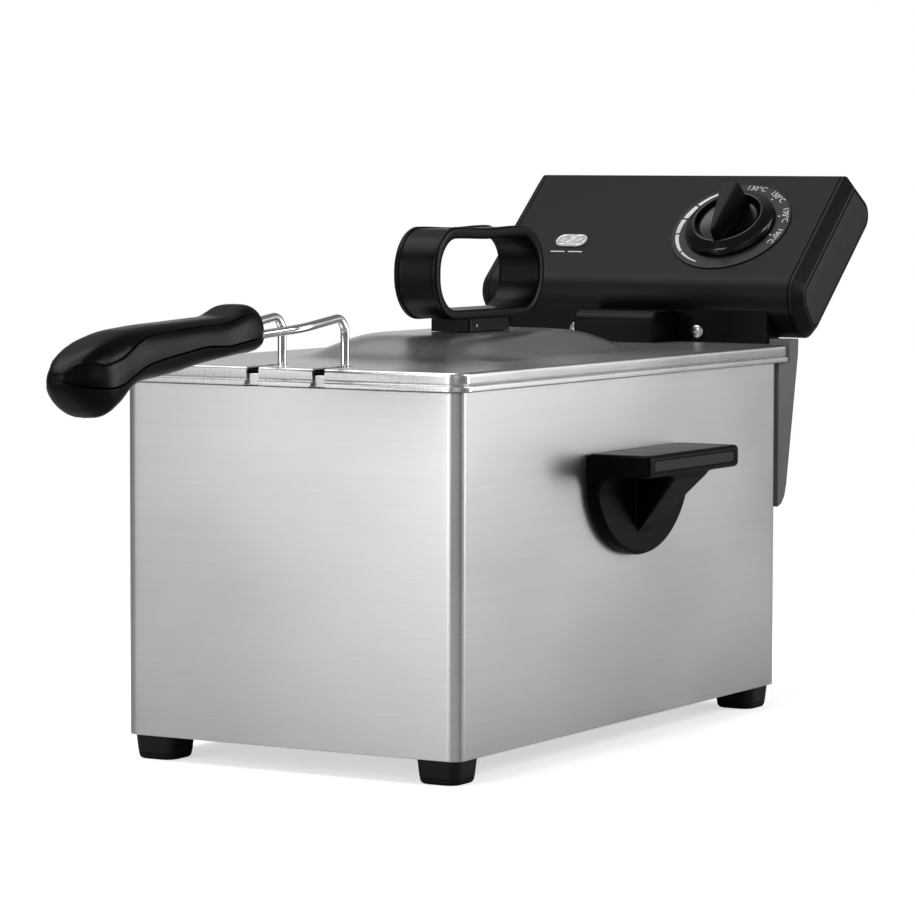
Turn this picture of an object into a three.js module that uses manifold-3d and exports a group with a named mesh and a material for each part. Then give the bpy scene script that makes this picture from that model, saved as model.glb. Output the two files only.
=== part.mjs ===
// Cold-zone deep fryer: steel housing with a lift-out oil pan, a control head
// that carries the heating element, a wire basket with a moulded grip, and a
// lift-off lid. Millimetres, +Z up, front towards -Y. The housing is first laid
// out with its front wall at y = 0 and its bottom edge at z = 0; the whole
// group is then moved so that the origin is on the table under its middle.
import * as THREE from "three";
import { mergeVertices } from "three/addons/utils/BufferGeometryUtils.js";
import Module from "manifold-3d";

const wasm = await Module();
wasm.setup();

// ---------------------------------------------------------------- dimensions
const W = 180, D = 325, H = 165; // housing: width, depth, height
const CASE_T = 1.0, CASE_R = 6; // sheet thickness as modelled, corner radius
const SEAM_Y = 3.0; // front sheet ends here, the wrap-round sheet starts
const FOOT_H = 11.5, PAD_H = 2.7, FOOT_A = 22, FOOT_B = 20; // feet
const FOOT_X = 76.5, FOOT_Y = 13.2; // foot centre from the middle and the ends
const GAP = 0.3; // clearance between pieces that touch
const LID_TOP = 174.0, LID_LIP_Z = 165.3, LID_STEP_Z = 167.9; // lid heights
const LID_HX = 92.2, LID_Y0 = -2.2, LID_Y1 = 335.5, LIP = 1.2; // lid band, lip proud of it
const DOME_TOP = 184.8; // raised middle of the lid
const SLOT_X = 17.7, SLOT_W = 6.6, SLOT_END = 25.2; // slots for the wires
const NOTCH_HX = 24.6, NOTCH_Y = 312.3; // rear notch for the element's bridge
const WIRE_R = 2.0, WIRE_X = 17.0, WIRE_Y = 21.7; // basket handle wires
const TILT = 49.4; // control panel leans back from vertical, degrees
const PANEL_Y = 403.5, PANEL_Z = 260.7; // top front edge of the control panel
const HEAD_HX = 88, HEAD_T = 36.5, CAP_X = 95.5; // control head half width, thickness
const DIAL_X = 39.4, DIAL_S = 42.1, DIAL_R = 33.2; // dial
const LAMP_X = -50.6, LAMP_S = 55; // indicator lamps
const LOOP_X = 12, LOOP_Y = 165.5, LOOP_Z = 213.7, LOOP_L = 107, LOOP_H = 44.6; // lid handle
const PAN = { x: 82, y0: 8, y1: 321, t: 1, top: 172.7, ledge: 54, floor: 28, lx: 60, ly0: 24 };
const BASKET = { x: 70, y0: 24.4, y1: 297, top: 158, bottom: 54.5, t: 1.8 };
const SIDE_Y0 = 118.5, SIDE_Y1 = 212.5, SIDE_X = 123.5, SIDE_Z = 131, SIDE_T = 10.7; // side handles
const ORIGIN_Y = 124.460; // middle of the whole object, in housing coordinates

// ---------------------------------------------------------------- materials
const mat = (color, roughness, metalness) =>
  new THREE.MeshStandardMaterial({ color, roughness, metalness });
const STEEL = mat(0xb9b9b7, 0.38, 1);
const PAN_STEEL = mat(0xa8a8a6, 0.3, 1);
const CHROME = mat(0xdededd, 0.1, 1);
const BLACK = mat(0x141414, 0.45, 0);
const SATIN = mat(0x1b1b1c, 0.55, 0);
const GLOSS = mat(0x0b0b0c, 0.18, 0);
const GREY = mat(0x4b4b4b, 0.6, 0);
const RUBBER = mat(0x101010, 0.85, 0);
const LENS = mat(0xf2f0e8, 0.25, 0);
const BOARD = mat(0x2f5d3a, 0.6, 0);
const ELEMENT = mat(0x6b6b6a, 0.35, 1);
const WHITE = mat(0xd8d8d4, 0.5, 0);

// ---------------------------------------------------------------- helpers
function solid(geometry) {
  const g = geometry.clone();
  for (const n of Object.keys(g.attributes)) if (n !== "position") g.deleteAttribute(n);
  const m = mergeVertices(g, 1e-4);
  const make = (tri) =>
    new wasm.Manifold(
      new wasm.Mesh({ numProp: 3, vertProperties: m.attributes.position.array, triVerts: tri }),
    );
  const tri = new Uint32Array(m.index.array);
  const s = make(tri);
  if (s.volume() >= 0) return s;
  for (let i = 0; i < tri.length; i += 3) [tri[i + 1], tri[i + 2]] = [tri[i + 2], tri[i + 1]];
  return make(tri);
}
function geometryOf(s) {
  const m = s.getMesh(), n = m.numProp, p = new Float32Array(m.numVert * 3);
  for (let i = 0; i < m.numVert; i++) p.set(m.vertProperties.subarray(i * n, i * n + 3), i * 3);
  const g = new THREE.BufferGeometry();
  g.setAttribute("position", new THREE.BufferAttribute(p, 3));
  g.setIndex(new THREE.BufferAttribute(new Uint32Array(m.triVerts), 1));
  const flat = g.toNonIndexed();
  flat.computeVertexNormals();
  return flat;
}
const join = (...s) => s.reduce((a, b) => a.add(b));
const cut = (a, ...s) => s.reduce((x, y) => x.subtract(y), a);
const root = new THREE.Group();
root.name = "deep_fryer";
const inner = new THREE.Group();
root.add(inner);
inner.position.set(0, -ORIGIN_Y, FOOT_H);
function add(name, s, material) {
  const mesh = new THREE.Mesh(geometryOf(s), material);
  mesh.name = name;
  inner.add(mesh);
  return mesh;
}
const box = (x0, x1, y0, y1, z0, z1) =>
  solid(new THREE.BoxGeometry(x1 - x0, y1 - y0, z1 - z0).translate((x0 + x1) / 2, (y0 + y1) / 2, (z0 + z1) / 2));
function rounded(x0, x1, y0, y1, r) {
  const s = new THREE.Shape();
  s.moveTo(x0 + r, y0).lineTo(x1 - r, y0).absarc(x1 - r, y0 + r, r, -Math.PI / 2, 0, false);
  s.lineTo(x1, y1 - r).absarc(x1 - r, y1 - r, r, 0, Math.PI / 2, false);
  s.lineTo(x0 + r, y1).absarc(x0 + r, y1 - r, r, Math.PI / 2, Math.PI, false);
  s.lineTo(x0, y0 + r).absarc(x0 + r, y0 + r, r, Math.PI, 1.5 * Math.PI, false);
  return s;
}
const extrude = (shape, depth, seg) =>
  new THREE.ExtrudeGeometry(shape, { depth, bevelEnabled: false, curveSegments: seg });
const alongZ = (shape, z0, z1, seg = 4) => solid(extrude(shape, z1 - z0, seg).translate(0, 0, z0));
const CYCLE = new THREE.Matrix4().set(0, 0, 1, 0, 1, 0, 0, 0, 0, 1, 0, 0, 0, 0, 0, 1); // shape x,y to Y,Z
const alongX = (shape, x0, x1, seg = 4) => solid(extrude(shape, x1 - x0, seg).applyMatrix4(CYCLE).translate(x0, 0, 0));
const alongY = (shape, y0, y1, seg = 4) =>
  solid(extrude(shape, y1 - y0, seg).rotateX(Math.PI / 2).translate(0, y1, 0)); // shape x,y to X,Z
const polygon = (pts) => new THREE.Shape(pts.map(([a, b]) => new THREE.Vector2(a, b)));
// A cylinder from point a to point b.
function rod(a, b, r, seg = 12, r2 = r) {
  const A = new THREE.Vector3(...a), B = new THREE.Vector3(...b), d = B.clone().sub(A);
  const g = new THREE.CylinderGeometry(r2, r, d.length(), seg);
  g.applyQuaternion(new THREE.Quaternion().setFromUnitVectors(new THREE.Vector3(0, 1, 0), d.clone().normalize()));
  return solid(g.translate(...A.add(B).multiplyScalar(0.5).toArray()));
}
// A closed body through a stack of rings with equal point counts; ring = array of [x, y, z].
function loft(rings) {
  const n = rings[0].length, pos = [], idx = [];
  rings.forEach((r) => r.forEach((p) => pos.push(...p)));
  for (let k = 0; k + 1 < rings.length; k++)
    for (let i = 0; i < n; i++) {
      const a = k * n + i, b = k * n + ((i + 1) % n), c = a + n, d = b + n;
      idx.push(a, b, d, a, d, c);
    }
  for (let i = 1; i + 1 < n; i++) {
    idx.push(0, i + 1, i);
    const o = (rings.length - 1) * n;
    idx.push(o, o + i, o + i + 1);
  }
  const g = new THREE.BufferGeometry();
  g.setAttribute("position", new THREE.BufferAttribute(new Float32Array(pos), 3));
  g.setIndex(idx);
  return solid(g);
}
const ringOf = (shape, seg, z) => {
  const p = shape.getPoints(seg).filter((q, i, all) => q.distanceTo(all[(i + 1) % all.length]) > 1e-5);
  return p.map((q) => [q.x, q.y, z]);
};
// A round bar along points, with each inner corner turned through a short curve.
function bar(points, r, bend, sides = 8, step = 9) {
  const P = points.map((p) => new THREE.Vector3(...p)), path = new THREE.CurvePath();
  let last = P[0];
  for (let i = 1; i + 1 < P.length; i++) {
    const a = P[i - 1].clone().sub(P[i]).normalize(), b = P[i + 1].clone().sub(P[i]).normalize();
    const s = P[i].clone().addScaledVector(a, bend), e = P[i].clone().addScaledVector(b, bend);
    path.add(new THREE.LineCurve3(last, s));
    path.add(new THREE.QuadraticBezierCurve3(s, P[i], e));
    last = e;
  }
  path.add(new THREE.LineCurve3(last, P[P.length - 1]));
  const section = new THREE.Shape();
  for (let i = 0; i < sides; i++) {
    const t = (i / sides) * 2 * Math.PI;
    i ? section.lineTo(r * Math.cos(t), r * Math.sin(t)) : section.moveTo(r, 0);
  }
  section.closePath();
  return solid(
    new THREE.ExtrudeGeometry(section, {
      steps: Math.max(8, Math.round(path.getLength() / step)),
      extrudePath: path, bevelEnabled: false, curveSegments: 1,
    }),
  );
}
const mirrorX = (s) => s.mirror([1, 0, 0]);

// ---------------------------------------------------------------- housing
const ringShape = rounded(-W / 2, W / 2, 0, D, CASE_R);
ringShape.holes.push(rounded(-W / 2 + CASE_T, W / 2 - CASE_T, CASE_T, D - CASE_T, CASE_R - CASE_T));
const ring = alongZ(ringShape, 0, H);
add("casing_front", cut(ring, box(-100, 100, SEAM_Y, 400, -5, 200)), STEEL);
add("casing_wrap", cut(ring, box(-100, 100, -50, SEAM_Y + GAP, -5, 200)), STEEL);
{
  const plate = rounded(-W / 2 + CASE_T + GAP, W / 2 - CASE_T - GAP, CASE_T + GAP, D - CASE_T - GAP, CASE_R - CASE_T);
  for (const y of [110, 135, 160, 185, 210]) plate.holes.push(rounded(-30, 30, y - 3, y + 3, 2.9));
  add("base_plate", alongZ(plate, 0.5, 1.7, 2), BLACK);
}
for (const [side, sx] of [["left", -1], ["right", 1]])
  for (const [end, cy] of [["front", FOOT_Y], ["rear", D - FOOT_Y]]) {
    const sq = (a, r, z) => ringOf(rounded(sx * FOOT_X - a / 2, sx * FOOT_X + a / 2, cy - a / 2, cy + a / 2, r), 3, z);
    add(`foot_${end}_${side}`, loft([sq(FOOT_B, 6.4, -FOOT_H + PAD_H + GAP), sq(FOOT_A, 7, 0.2)]), BLACK);
    add(`foot_pad_${end}_${side}`, loft([sq(FOOT_B - 3, 6, -FOOT_H), sq(FOOT_B - 2, 6.2, -FOOT_H + PAD_H)]), RUBBER);
  }

// Side handles: a plate with a rounded bottom, a shelf to lift by and a scooped web under it.
{
  const ym = (SIDE_Y0 + SIDE_Y1) / 2, hw = (SIDE_Y1 - SIDE_Y0) / 2;
  const plate = new THREE.Shape();
  plate.moveTo(SIDE_Y0, 119).absellipse(ym, 119, hw, 39, Math.PI, 2 * Math.PI, false, 0);
  plate.lineTo(SIDE_Y1, SIDE_Z - 3).lineTo(SIDE_Y1 - 3, SIDE_Z).lineTo(SIDE_Y0 + 3, SIDE_Z).lineTo(SIDE_Y0, SIDE_Z - 3);
  const x0 = W / 2 + GAP;
  const p = alongX(plate, x0, x0 + 6, 8);
  const zs = SIDE_Z - SIDE_T;
  const shelf = alongY(
    polygon([[x0 + 5, zs], [SIDE_X - 2.5, zs], [SIDE_X, zs + 2.5], [SIDE_X, SIDE_Z - 2.5], [SIDE_X - 2.5, SIDE_Z], [x0 + 5, SIDE_Z]]),
    SIDE_Y0, SIDE_Y1);
  // The web's underside is a slope, and it widens from the plate to the shelf's edge.
  const web = alongY(
    polygon([[x0 + 5, zs + 1], [x0 + 5, 89], [x0 + 6.5, 92], [x0 + 12, 98.4], [x0 + 30.4, 118.2], [x0 + 31.4, zs + 1]]),
    ym - 18, ym + 18).intersect(alongZ(polygon(
    [[x0 + 4, ym - 7.5], [x0 + 6.7, ym - 7.5], [SIDE_X - 1.5, ym - 17], [SIDE_X - 1.5, ym + 17], [x0 + 6.7, ym + 7.5], [x0 + 4, ym + 7.5]]), 60, 140));
  const handle = cut(join(p, shelf, web), box(SIDE_X - 1.2, SIDE_X + 1, SIDE_Y0 + 6, SIDE_Y1 - 6, zs + 2.4, SIDE_Z - 2.4));
  const trim = box(SIDE_X - 1.2 + GAP, SIDE_X - 0.1, SIDE_Y0 + 6 + GAP, SIDE_Y1 - 6 - GAP, zs + 2.4 + GAP, SIDE_Z - 2.4 - GAP);
  add("side_handle_right", handle, GLOSS);
  add("side_handle_left", mirrorX(handle), GLOSS);
  add("side_handle_trim_right", trim, SATIN);
  add("side_handle_trim_left", mirrorX(trim), SATIN);
}

// Rear bracket: a wedge on the back wall with two ears; the head's neck sits between the ears.
{
  const wedge = alongX(
    polygon([[D + GAP, 91], [329.5, 92.3], [333.2, 96], [335.4, 102], [348.2, 168], [348.6, 176.4], [338, 176.4], [338, 164.8], [D + GAP, 164.8]]),
    -W / 2, W / 2);
  const screwHole = (x) => rod([x, 326, 112.6], [x, 345, 112.6], 2.2, 10);
  const b = cut(wedge, box(-78.5, 78.5, 330, 360, 164.8, 190), box(-60.4, 60.4, 338.2, 342.0, 148, 190), screwHole(-66), screwHole(66));
  add("rear_bracket", b, GREY);
  for (const [n, x] of [["left", -66], ["right", 66]])
    add("bracket_screw_" + n, join(rod([x, 328, 112.6], [x, 340, 112.6], 1.8, 10), rod([x, 338.7, 112.6], [x, 340.6, 112.6], 3.6, 12)), CHROME);
}

// ---------------------------------------------------------------- oil pan
{
  const t = PAN.t, r = 22;
  const out = join(
    alongZ(rounded(-PAN.x - t, PAN.x + t, PAN.y0 - t, PAN.y1 + t, r + t), PAN.ledge - t, PAN.top, 3),
    alongZ(rounded(-PAN.lx - t, PAN.lx + t, PAN.ly0 - t, PAN.y1 + t, r), PAN.floor - t, PAN.ledge, 3),
    alongZ(rounded(-W / 2 - 0.4, W / 2 + 0.4, -0.4, D + 0.4, CASE_R + 0.4), H + GAP, H + GAP + t, 3));
  const hollow = join(
    alongZ(rounded(-PAN.x, PAN.x, PAN.y0, PAN.y1, r), PAN.ledge, 200, 3),
    alongZ(rounded(-PAN.lx, PAN.lx, PAN.ly0, PAN.y1, r - t), PAN.floor, 100, 3));
  add("oil_pan", cut(out, hollow, box(-26, 26, 300, 330, 167, 200)), PAN_STEEL);
}

// ---------------------------------------------------------------- lid
{
  const band = (d) => rounded(-LID_HX + d, LID_HX - d, LID_Y0 + d, LID_Y1 - d, 8 - d);
  const lipShape = (d) => rounded(-LID_HX - LIP + d, LID_HX + LIP - d, LID_Y0 - LIP + d, LID_Y1 + LIP - d, 9 - d);
  // Raised middle, as rings that climb along a soft S.
  const dome = (dz, d) => {
    const rings = [];
    for (const [t, z] of [[-0.08, -1.2], [0, 0], [0.25, 0.13], [0.5, 0.45], [0.75, 0.8], [1, 1]]) {
      const k = Math.max(t, 0), h = DOME_TOP - LID_TOP;
      const x = 59.3 + (29.6 - 59.3) * k - d, y0 = 64.8 + (118.2 - 64.8) * k + d, y1 = 268.4 + (215 - 268.4) * k - d;
      rings.push(ringOf(rounded(-x, x, y0, y1, 30 - 6 * k - d), 3, LID_TOP + dz + (t < 0 ? -1.2 : z * h)));
    }
    return loft(rings);
  };
  const holes = [LOOP_Y - 14, LOOP_Y + 14].map((y) => rod([0, y, 180], [0, y, 188], 2.4, 10));
  let lid = join(alongZ(band(0), LID_STEP_Z - 0.01, LID_TOP, 3), alongZ(lipShape(0), LID_LIP_Z, LID_STEP_Z, 3), dome(0, 0));
  lid = cut(
    lid, alongZ(band(1), LID_LIP_Z - 2, LID_TOP - 1, 3), alongZ(lipShape(1), LID_LIP_Z - 2, LID_STEP_Z - 1, 3), dome(-1, 0.5),
    box(SLOT_X - SLOT_W / 2, SLOT_X + SLOT_W / 2, -20, SLOT_END, 150, 190),
    box(-SLOT_X - SLOT_W / 2, -SLOT_X + SLOT_W / 2, -20, SLOT_END, 150, 190),
    box(-NOTCH_HX, NOTCH_HX, NOTCH_Y, 350, 150, 190), ...holes);
  add("lid_shell", lid, STEEL);
  const foot = cut(box(-11, 11, LOOP_Y - 20, LOOP_Y + 20, DOME_TOP + GAP, LOOP_Z - LOOP_H / 2 - GAP),
    ...[LOOP_Y - 14, LOOP_Y + 14].map((y) => rod([0, y, 180], [0, y, 195], 2.4, 10)));
  add("lid_handle_foot", foot, BLACK);
  const o = rounded(LOOP_Y - LOOP_L / 2, LOOP_Y + LOOP_L / 2, LOOP_Z - LOOP_H / 2, LOOP_Z + LOOP_H / 2, 21);
  o.holes.push(rounded(LOOP_Y - LOOP_L / 2 + 5.5, LOOP_Y + LOOP_L / 2 - 5.5, LOOP_Z - LOOP_H / 2 + 4.6, LOOP_Z + LOOP_H / 2 - 5.6, 16));
  add("lid_handle_loop", cut(alongX(o, -LOOP_X, LOOP_X, 6), ...[LOOP_Y - 14, LOOP_Y + 14].map((y) => rod([0, y, 185], [0, y, 194.4], 2.3, 10))), BLACK);
  for (const [n, y] of [["front", LOOP_Y - 14], ["rear", LOOP_Y + 14]])
    add("lid_handle_screw_" + n, join(rod([0, y, 183], [0, y, 194], 1.9, 10), rod([0, y, 181.7], [0, y, DOME_TOP - 1 - GAP], 4, 12)), CHROME);
}

// ---------------------------------------------------------------- basket
{
  const b = BASKET, sh = (d, r, k) => rounded(-b.x + d + k, b.x - d - k, b.y0 + d + k, b.y1 - d - k, r);
  const outer = loft([ringOf(sh(0, 18, 4), 3, b.bottom), ringOf(sh(0, 20, 0), 3, b.top)]);
  const hollow = loft([ringOf(sh(b.t, 16.5, 4), 3, b.bottom + b.t), ringOf(sh(b.t, 18.5, 0), 3, b.top + 0.5)]);
  add("fry_basket", cut(outer, hollow), CHROME);
}
const wirePath = (x) => [[x, WIRE_Y, 66], [x, WIRE_Y, 196.8], [x, -15, 192.6], [x * 0.5, -42, 190.0], [x * 0.5, -66, 187.2]];
const wire = (sx, r) => bar(wirePath(sx * WIRE_X), r, 6, 8, 5);
add("basket_wire_left", wire(-1, WIRE_R), CHROME);
add("basket_wire_right", wire(1, WIRE_R), CHROME);
{
  // y, top, bottom, half width, parting height
  const st = [
    [-34.4, 196.5, 186.6, 7.8, 190.8], [-38.4, 202.5, 183.4, 12.2, 190], [-44, 204.2, 182.2, 13.4, 189.2], [-51.5, 203.2, 182, 13.6, 188.2],
    [-68, 199.4, 180.4, 13.1, 186.4], [-100, 198, 176, 12.9, 182.9], [-130, 196.6, 173, 13.4, 178.6], [-141, 195.6, 168.6, 13.8, 175.8],
    [-149, 194, 162.6, 14.3, 173.4], [-157, 191.9, 159.4, 14.3, 172.4], [-164, 189.2, 161.6, 13, 172.6], [-170, 186, 165.6, 10.8, 173.2],
    [-174.6, 182.6, 169.4, 8, 174.2], [-177.4, 179.8, 172.2, 5.2, 175.2], [-178.5, 178.2, 174, 2.8, 176]];
  const half = (y, z1, zp, hw, up) => {
    const r = [], n = 8;
    for (let i = 0; i <= n; i++) {
      const a = (i / n) * Math.PI, c = Math.cos(a), s = Math.sin(a);
      const x = hw * Math.sign(c) * Math.abs(c) ** 0.75, z = Math.abs(s) ** 0.75 * (z1 - zp);
      r.push([x, y, zp + z]);
    }
    return up ? r : r.reverse();
  };
  const upper = loft(st.map(([y, t, b, w, p]) => half(y, t, p + 0.15, w, true)));
  const lower = loft(st.map(([y, t, b, w, p]) => half(y, b, p - 0.15, w, false)));
  const bores = [wire(-1, WIRE_R + 0.35), wire(1, WIRE_R + 0.35)];
  const s = rod([0, -110, 150], [0, -110, 190], 1.8, 8), head = rod([0, -110, 150], [0, -110, 176], 3.4, 10);
  add("grip_upper", cut(upper, ...bores, s), BLACK);
  add("grip_lower", cut(lower, ...bores, s, head), BLACK);
  add("grip_screw", join(rod([0, -110, 175], [0, -110, 189], 1.5, 8), rod([0, -110, 174.2], [0, -110, 175.7], 3, 10)), CHROME);
}

// ---------------------------------------------------------------- control head
const ct = Math.cos((TILT * Math.PI) / 180), st = Math.sin((TILT * Math.PI) / 180);
// s runs down the panel's face from its top edge, t runs into the head.
const at = (s, t) => [PANEL_Y - s * st + t * ct, PANEL_Z - s * ct - t * st];
const at3 = (x, s, t) => [x, ...at(s, t)];
// Outline of the head's section: a four-sided figure with rounded corners, inset by d.
function headPoints(d, seg = 4) {
  const V = [[0, 0, 3], [-12.5, HEAD_T, 13], [95, HEAD_T, 12], [93.5, 0, 14.5]].map((v) => ({ p: new THREE.Vector2(v[0], v[1]), r: Math.max(v[2] - d, 1.2) }));
  const n = V.length, inwards = (a, b) => { const e = b.clone().sub(a).normalize(); return new THREE.Vector2(e.y, -e.x); };
  const corner = [];
  for (let i = 0; i < n; i++) {
    const a = V[(i + n - 1) % n].p, b = V[i].p, c = V[(i + 1) % n].p;
    const n1 = inwards(a, b), n2 = inwards(b, c);
    const m = n1.clone().add(n2).normalize(), k = d / m.dot(n1);
    corner.push({ p: b.clone().addScaledVector(m, k), r: V[i].r });
  }
  const pts = [];
  for (let i = 0; i < n; i++) {
    const a = corner[(i + n - 1) % n].p, b = corner[i].p, c = corner[(i + 1) % n].p, r = corner[i].r;
    const u = a.clone().sub(b).normalize(), v = c.clone().sub(b).normalize();
    const half = Math.acos(Math.max(-1, Math.min(1, u.dot(v)))) / 2, l = r / Math.tan(half);
    const centre = b.clone().addScaledVector(u.clone().add(v).normalize(), r / Math.sin(half));
    const p0 = b.clone().addScaledVector(u, l), p1 = b.clone().addScaledVector(v, l);
    const a0 = Math.atan2(p0.y - centre.y, p0.x - centre.x);
    let da = Math.atan2(p1.y - centre.y, p1.x - centre.x) - a0;
    while (da > Math.PI) da -= 2 * Math.PI;
    while (da < -Math.PI) da += 2 * Math.PI;
    const k = r < 4 ? 2 : seg;
    for (let j = 0; j <= k; j++) {
      const t = a0 + (da * j) / k;
      pts.push(at(centre.x + r * Math.cos(t), centre.y + r * Math.sin(t)));
    }
  }
  return pts;
}
const headSolid = (d, x0, x1) => alongX(polygon(headPoints(d)), x0, x1);
const slab = (t0, t1) => alongX(polygon([at(-60, t0), at(-60, t1), at(160, t1), at(160, t0)]), -120, 120);
{
  const shell = cut(headSolid(0, -HEAD_HX, HEAD_HX), headSolid(2, -HEAD_HX - 1, HEAD_HX + 1));
  const hole = (x, s, r, t0, t1, seg = 12) => rod(at3(x, s, t0), at3(x, s, t1), r, seg);
  add("head_front_shell", cut(shell, slab(18 - 0.15, 80), hole(DIAL_X, DIAL_S, 5, -5, 10), hole(LAMP_X - 4.6, LAMP_S, 3.5, -5, 10), hole(LAMP_X + 4.6, LAMP_S, 3.5, -5, 10)), BLACK);
  add("head_back_shell", cut(shell, slab(-40, 18 + 0.15), hole(-45, 58, 3.7, 25, 45), hole(45, 72, 7.3, 25, 45)), BLACK);
  const x0 = HEAD_HX + GAP;
  const ringAt = (d, x) => headPoints(d).map(([y, z]) => [x, y, z]);
  const cap = cut(loft([ringAt(0, x0), ringAt(0, x0 + 2), ringAt(5.2, CAP_X)]), headSolid(6.6, CAP_X - 1.2, CAP_X + 3));
  const inset = headSolid(7, CAP_X - 1.2 + GAP, CAP_X + 0.1);
  add("end_cap_right", cap, BLACK);
  add("end_cap_left", mirrorX(cap), BLACK);
  add("end_inset_right", inset, SATIN);
  add("end_inset_left", mirrorX(inset), SATIN);
  // Dial, knob and thermostat
  const disc = (x, s, r, t0, t1, seg) => rod(at3(x, s, t0), at3(x, s, t1), r, seg);
  add("dial_plate", cut(disc(DIAL_X, DIAL_S, DIAL_R, -0.3, -1.0, 32), disc(DIAL_X, DIAL_S, 5, 2, -4, 12)), BLACK);
  const frame = new THREE.Matrix4().makeBasis(
    new THREE.Vector3(1, 0, 0), new THREE.Vector3(0, st, ct), new THREE.Vector3(0, -ct, st)).setPosition(...at3(DIAL_X, DIAL_S, 0));
  // In the dial's own frame x is right, y is up the panel, z comes out of it.
  const knobBody = solid(new THREE.LatheGeometry(
    [[0, 1.3], [24.2, 1.3], [24.8, 1.9], [24.8, 2.8], [23.4, 4.8], [18.9, 7.3], [18.1, 6.9], [16.9, 3.8], [0, 3.2]].map(([a, b]) => new THREE.Vector2(a, b)), 32).rotateX(Math.PI / 2));
  const blade = loft([
    [[-1.6, -19.2, 3.4], [1.6, -19.2, 3.4], [6.2, 17.4, 3.4], [-6.2, 17.4, 3.4]],
    [[-0.7, -18.4, 15.0], [0.7, -18.4, 15.0], [4.9, 14.4, 20.3], [-4.9, 14.4, 20.3]]]);
  const turn = new THREE.Matrix4().makeRotationZ((KNOB_ANGLE() * Math.PI) / 180);
  const placed = (s) => solid(geometryOf(s).applyMatrix4(turn).applyMatrix4(frame));
  const core = join(knobBody, blade);
  add("knob", cut(placed(core), rod(at3(DIAL_X, DIAL_S, 5), at3(DIAL_X, DIAL_S, -5.4), 3.4, 12)), GLOSS);
  add("thermostat_shaft", rod(at3(DIAL_X, DIAL_S, 3.2), at3(DIAL_X, DIAL_S, -5), 3, 12), CHROME);
  const block = (x0, x1, s0, s1, t0, t1) => alongX(polygon([at(s0, t0), at(s0, t1), at(s1, t1), at(s1, t0)]), x0, x1);
  add("thermostat_body", block(DIAL_X - 15, DIAL_X + 15, DIAL_S - 15, DIAL_S + 15, 3.6, 20), CHROME);
  // Indicator lamps
  const pill = cut(
    join(disc(LAMP_X - 4.6, LAMP_S, 4.6, -0.3, -0.9, 16), disc(LAMP_X + 4.6, LAMP_S, 4.6, -0.3, -0.9, 16), block(LAMP_X - 4.6, LAMP_X + 4.6, LAMP_S - 4.6, LAMP_S + 4.6, -0.9, -0.3)),
    disc(LAMP_X - 4.6, LAMP_S, 3.5, 2, -4, 12), disc(LAMP_X + 4.6, LAMP_S, 3.5, 2, -4, 12));
  add("indicator_bezel", pill, WHITE);
  add("power_lens", disc(LAMP_X - 4.6, LAMP_S, 3.2, 5, -1.4, 12), LENS);
  add("ready_lens", disc(LAMP_X + 4.6, LAMP_S, 3.2, 5, -1.4, 12), LENS);
  add("lamp_board", block(LAMP_X - 18, LAMP_X + 18, LAMP_S - 12, LAMP_S + 12, 5.6, 7.2), BOARD);
  // Thermal cut-out with its reset button, and the gland, on the back
  add("thermal_cutout", block(-57, -33, 48, 68, 21, 31), SATIN);
  add("reset_button", join(disc(-45, 58, 3.2, 33.2, 38.6, 12), disc(-45, 58, 4.6, 32.9, 33.9, 12)), GLOSS);
  add("inlet_gland", cut(join(disc(45, 72, 7, 33.5, 38, 16), disc(45, 72, 9.5, HEAD_T + GAP, 38.8, 16), disc(45, 72, 6, 38, 46, 16)), disc(45, 72, 3, 30, 50, 12)), RUBBER);
}

// Neck behind the lid and the bridge over the pan's rear rim
{
  const clear = headSolid(-0.35, -120, 120);
  const neck = cut(
    alongX(polygon([[340, 165.7], [356, 165.7], [356, 196], [340, 196]]), -76, 76), clear,
    box(-72, 72, 342.2, 353.6, 160, 176));
  const tongue = box(-60, 60, 338.6, 341.6, 149, 167.5);
  const hole = (x) => rod([x, 335, 179], [x, 343, 179], 1.9, 8);
  add("rear_neck", cut(join(neck, tongue), hole(-36), hole(36), box(-300, 300, 300, 339.99, 167.5, 170)), BLACK);
  for (const [n, x] of [["left", -36], ["right", 36]])
    add("neck_screw_" + n, join(rod([x, 338, 179], [x, 342.6, 179], 1.6, 8), rod([x, 337.9, 179], [x, 339.7, 179], 3.6, 12)), CHROME);
  const legs = [[-14, 3.35], [14, 3.35], [20.6, 1.4]].map(([x, r]) => rod([x, 317, 160], [x, 317, 180.6], r, 10));
  const bridge = alongX(polygon([[313.5, 168.4], [339.7, 168.4], [339.7, 190], [319, 190], [315.2, 188.4], [313.5, 184.6]]), -23.5, 23.5);
  add("neck_bridge", cut(bridge, ...legs), BLACK);
  add("heating_element", bar([[14, 317, 180], [14, 317, 44], [52, 300, 44], [52, 48, 44], [-52, 48, 44], [-52, 300, 44], [-14, 317, 44], [-14, 317, 180]], 3, 11, 8, 12), ELEMENT);
  add("element_guard", cut(join(box(-18, 18, 311, 312.2, 62, 168.1), box(-18, 18, 311, 320.4, 167, 168.1)), ...[-14, 14].map((x) => rod([x, 317, 160], [x, 317, 175], 3.5, 10))), STEEL);
  const bulb = join(rod([-20, 304.5, 62], [20.6, 304.5, 62], 3, 10), bar([[20.6, 304.5, 62], [20.6, 306.5, 150], [20.6, 317, 164], [20.6, 317, 178]], 1, 6, 6, 12));
  add("thermostat_bulb", bulb, CHROME);
  // Safety switch under the neck: it closes when the head is seated
  add("safety_switch", cut(box(44, 64, 343, 352.6, 169, 175.6), rod([54, 347.8, 160], [54, 347.8, 174.2], 2.3, 10)), SATIN);
  add("switch_plunger", rod([54, 347.8, 165.5], [54, 347.8, 171.8], 2, 10), WHITE);
}

function KNOB_ANGLE() {
  return 0; // degrees from straight up the panel at rest
}

export default root;
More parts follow.
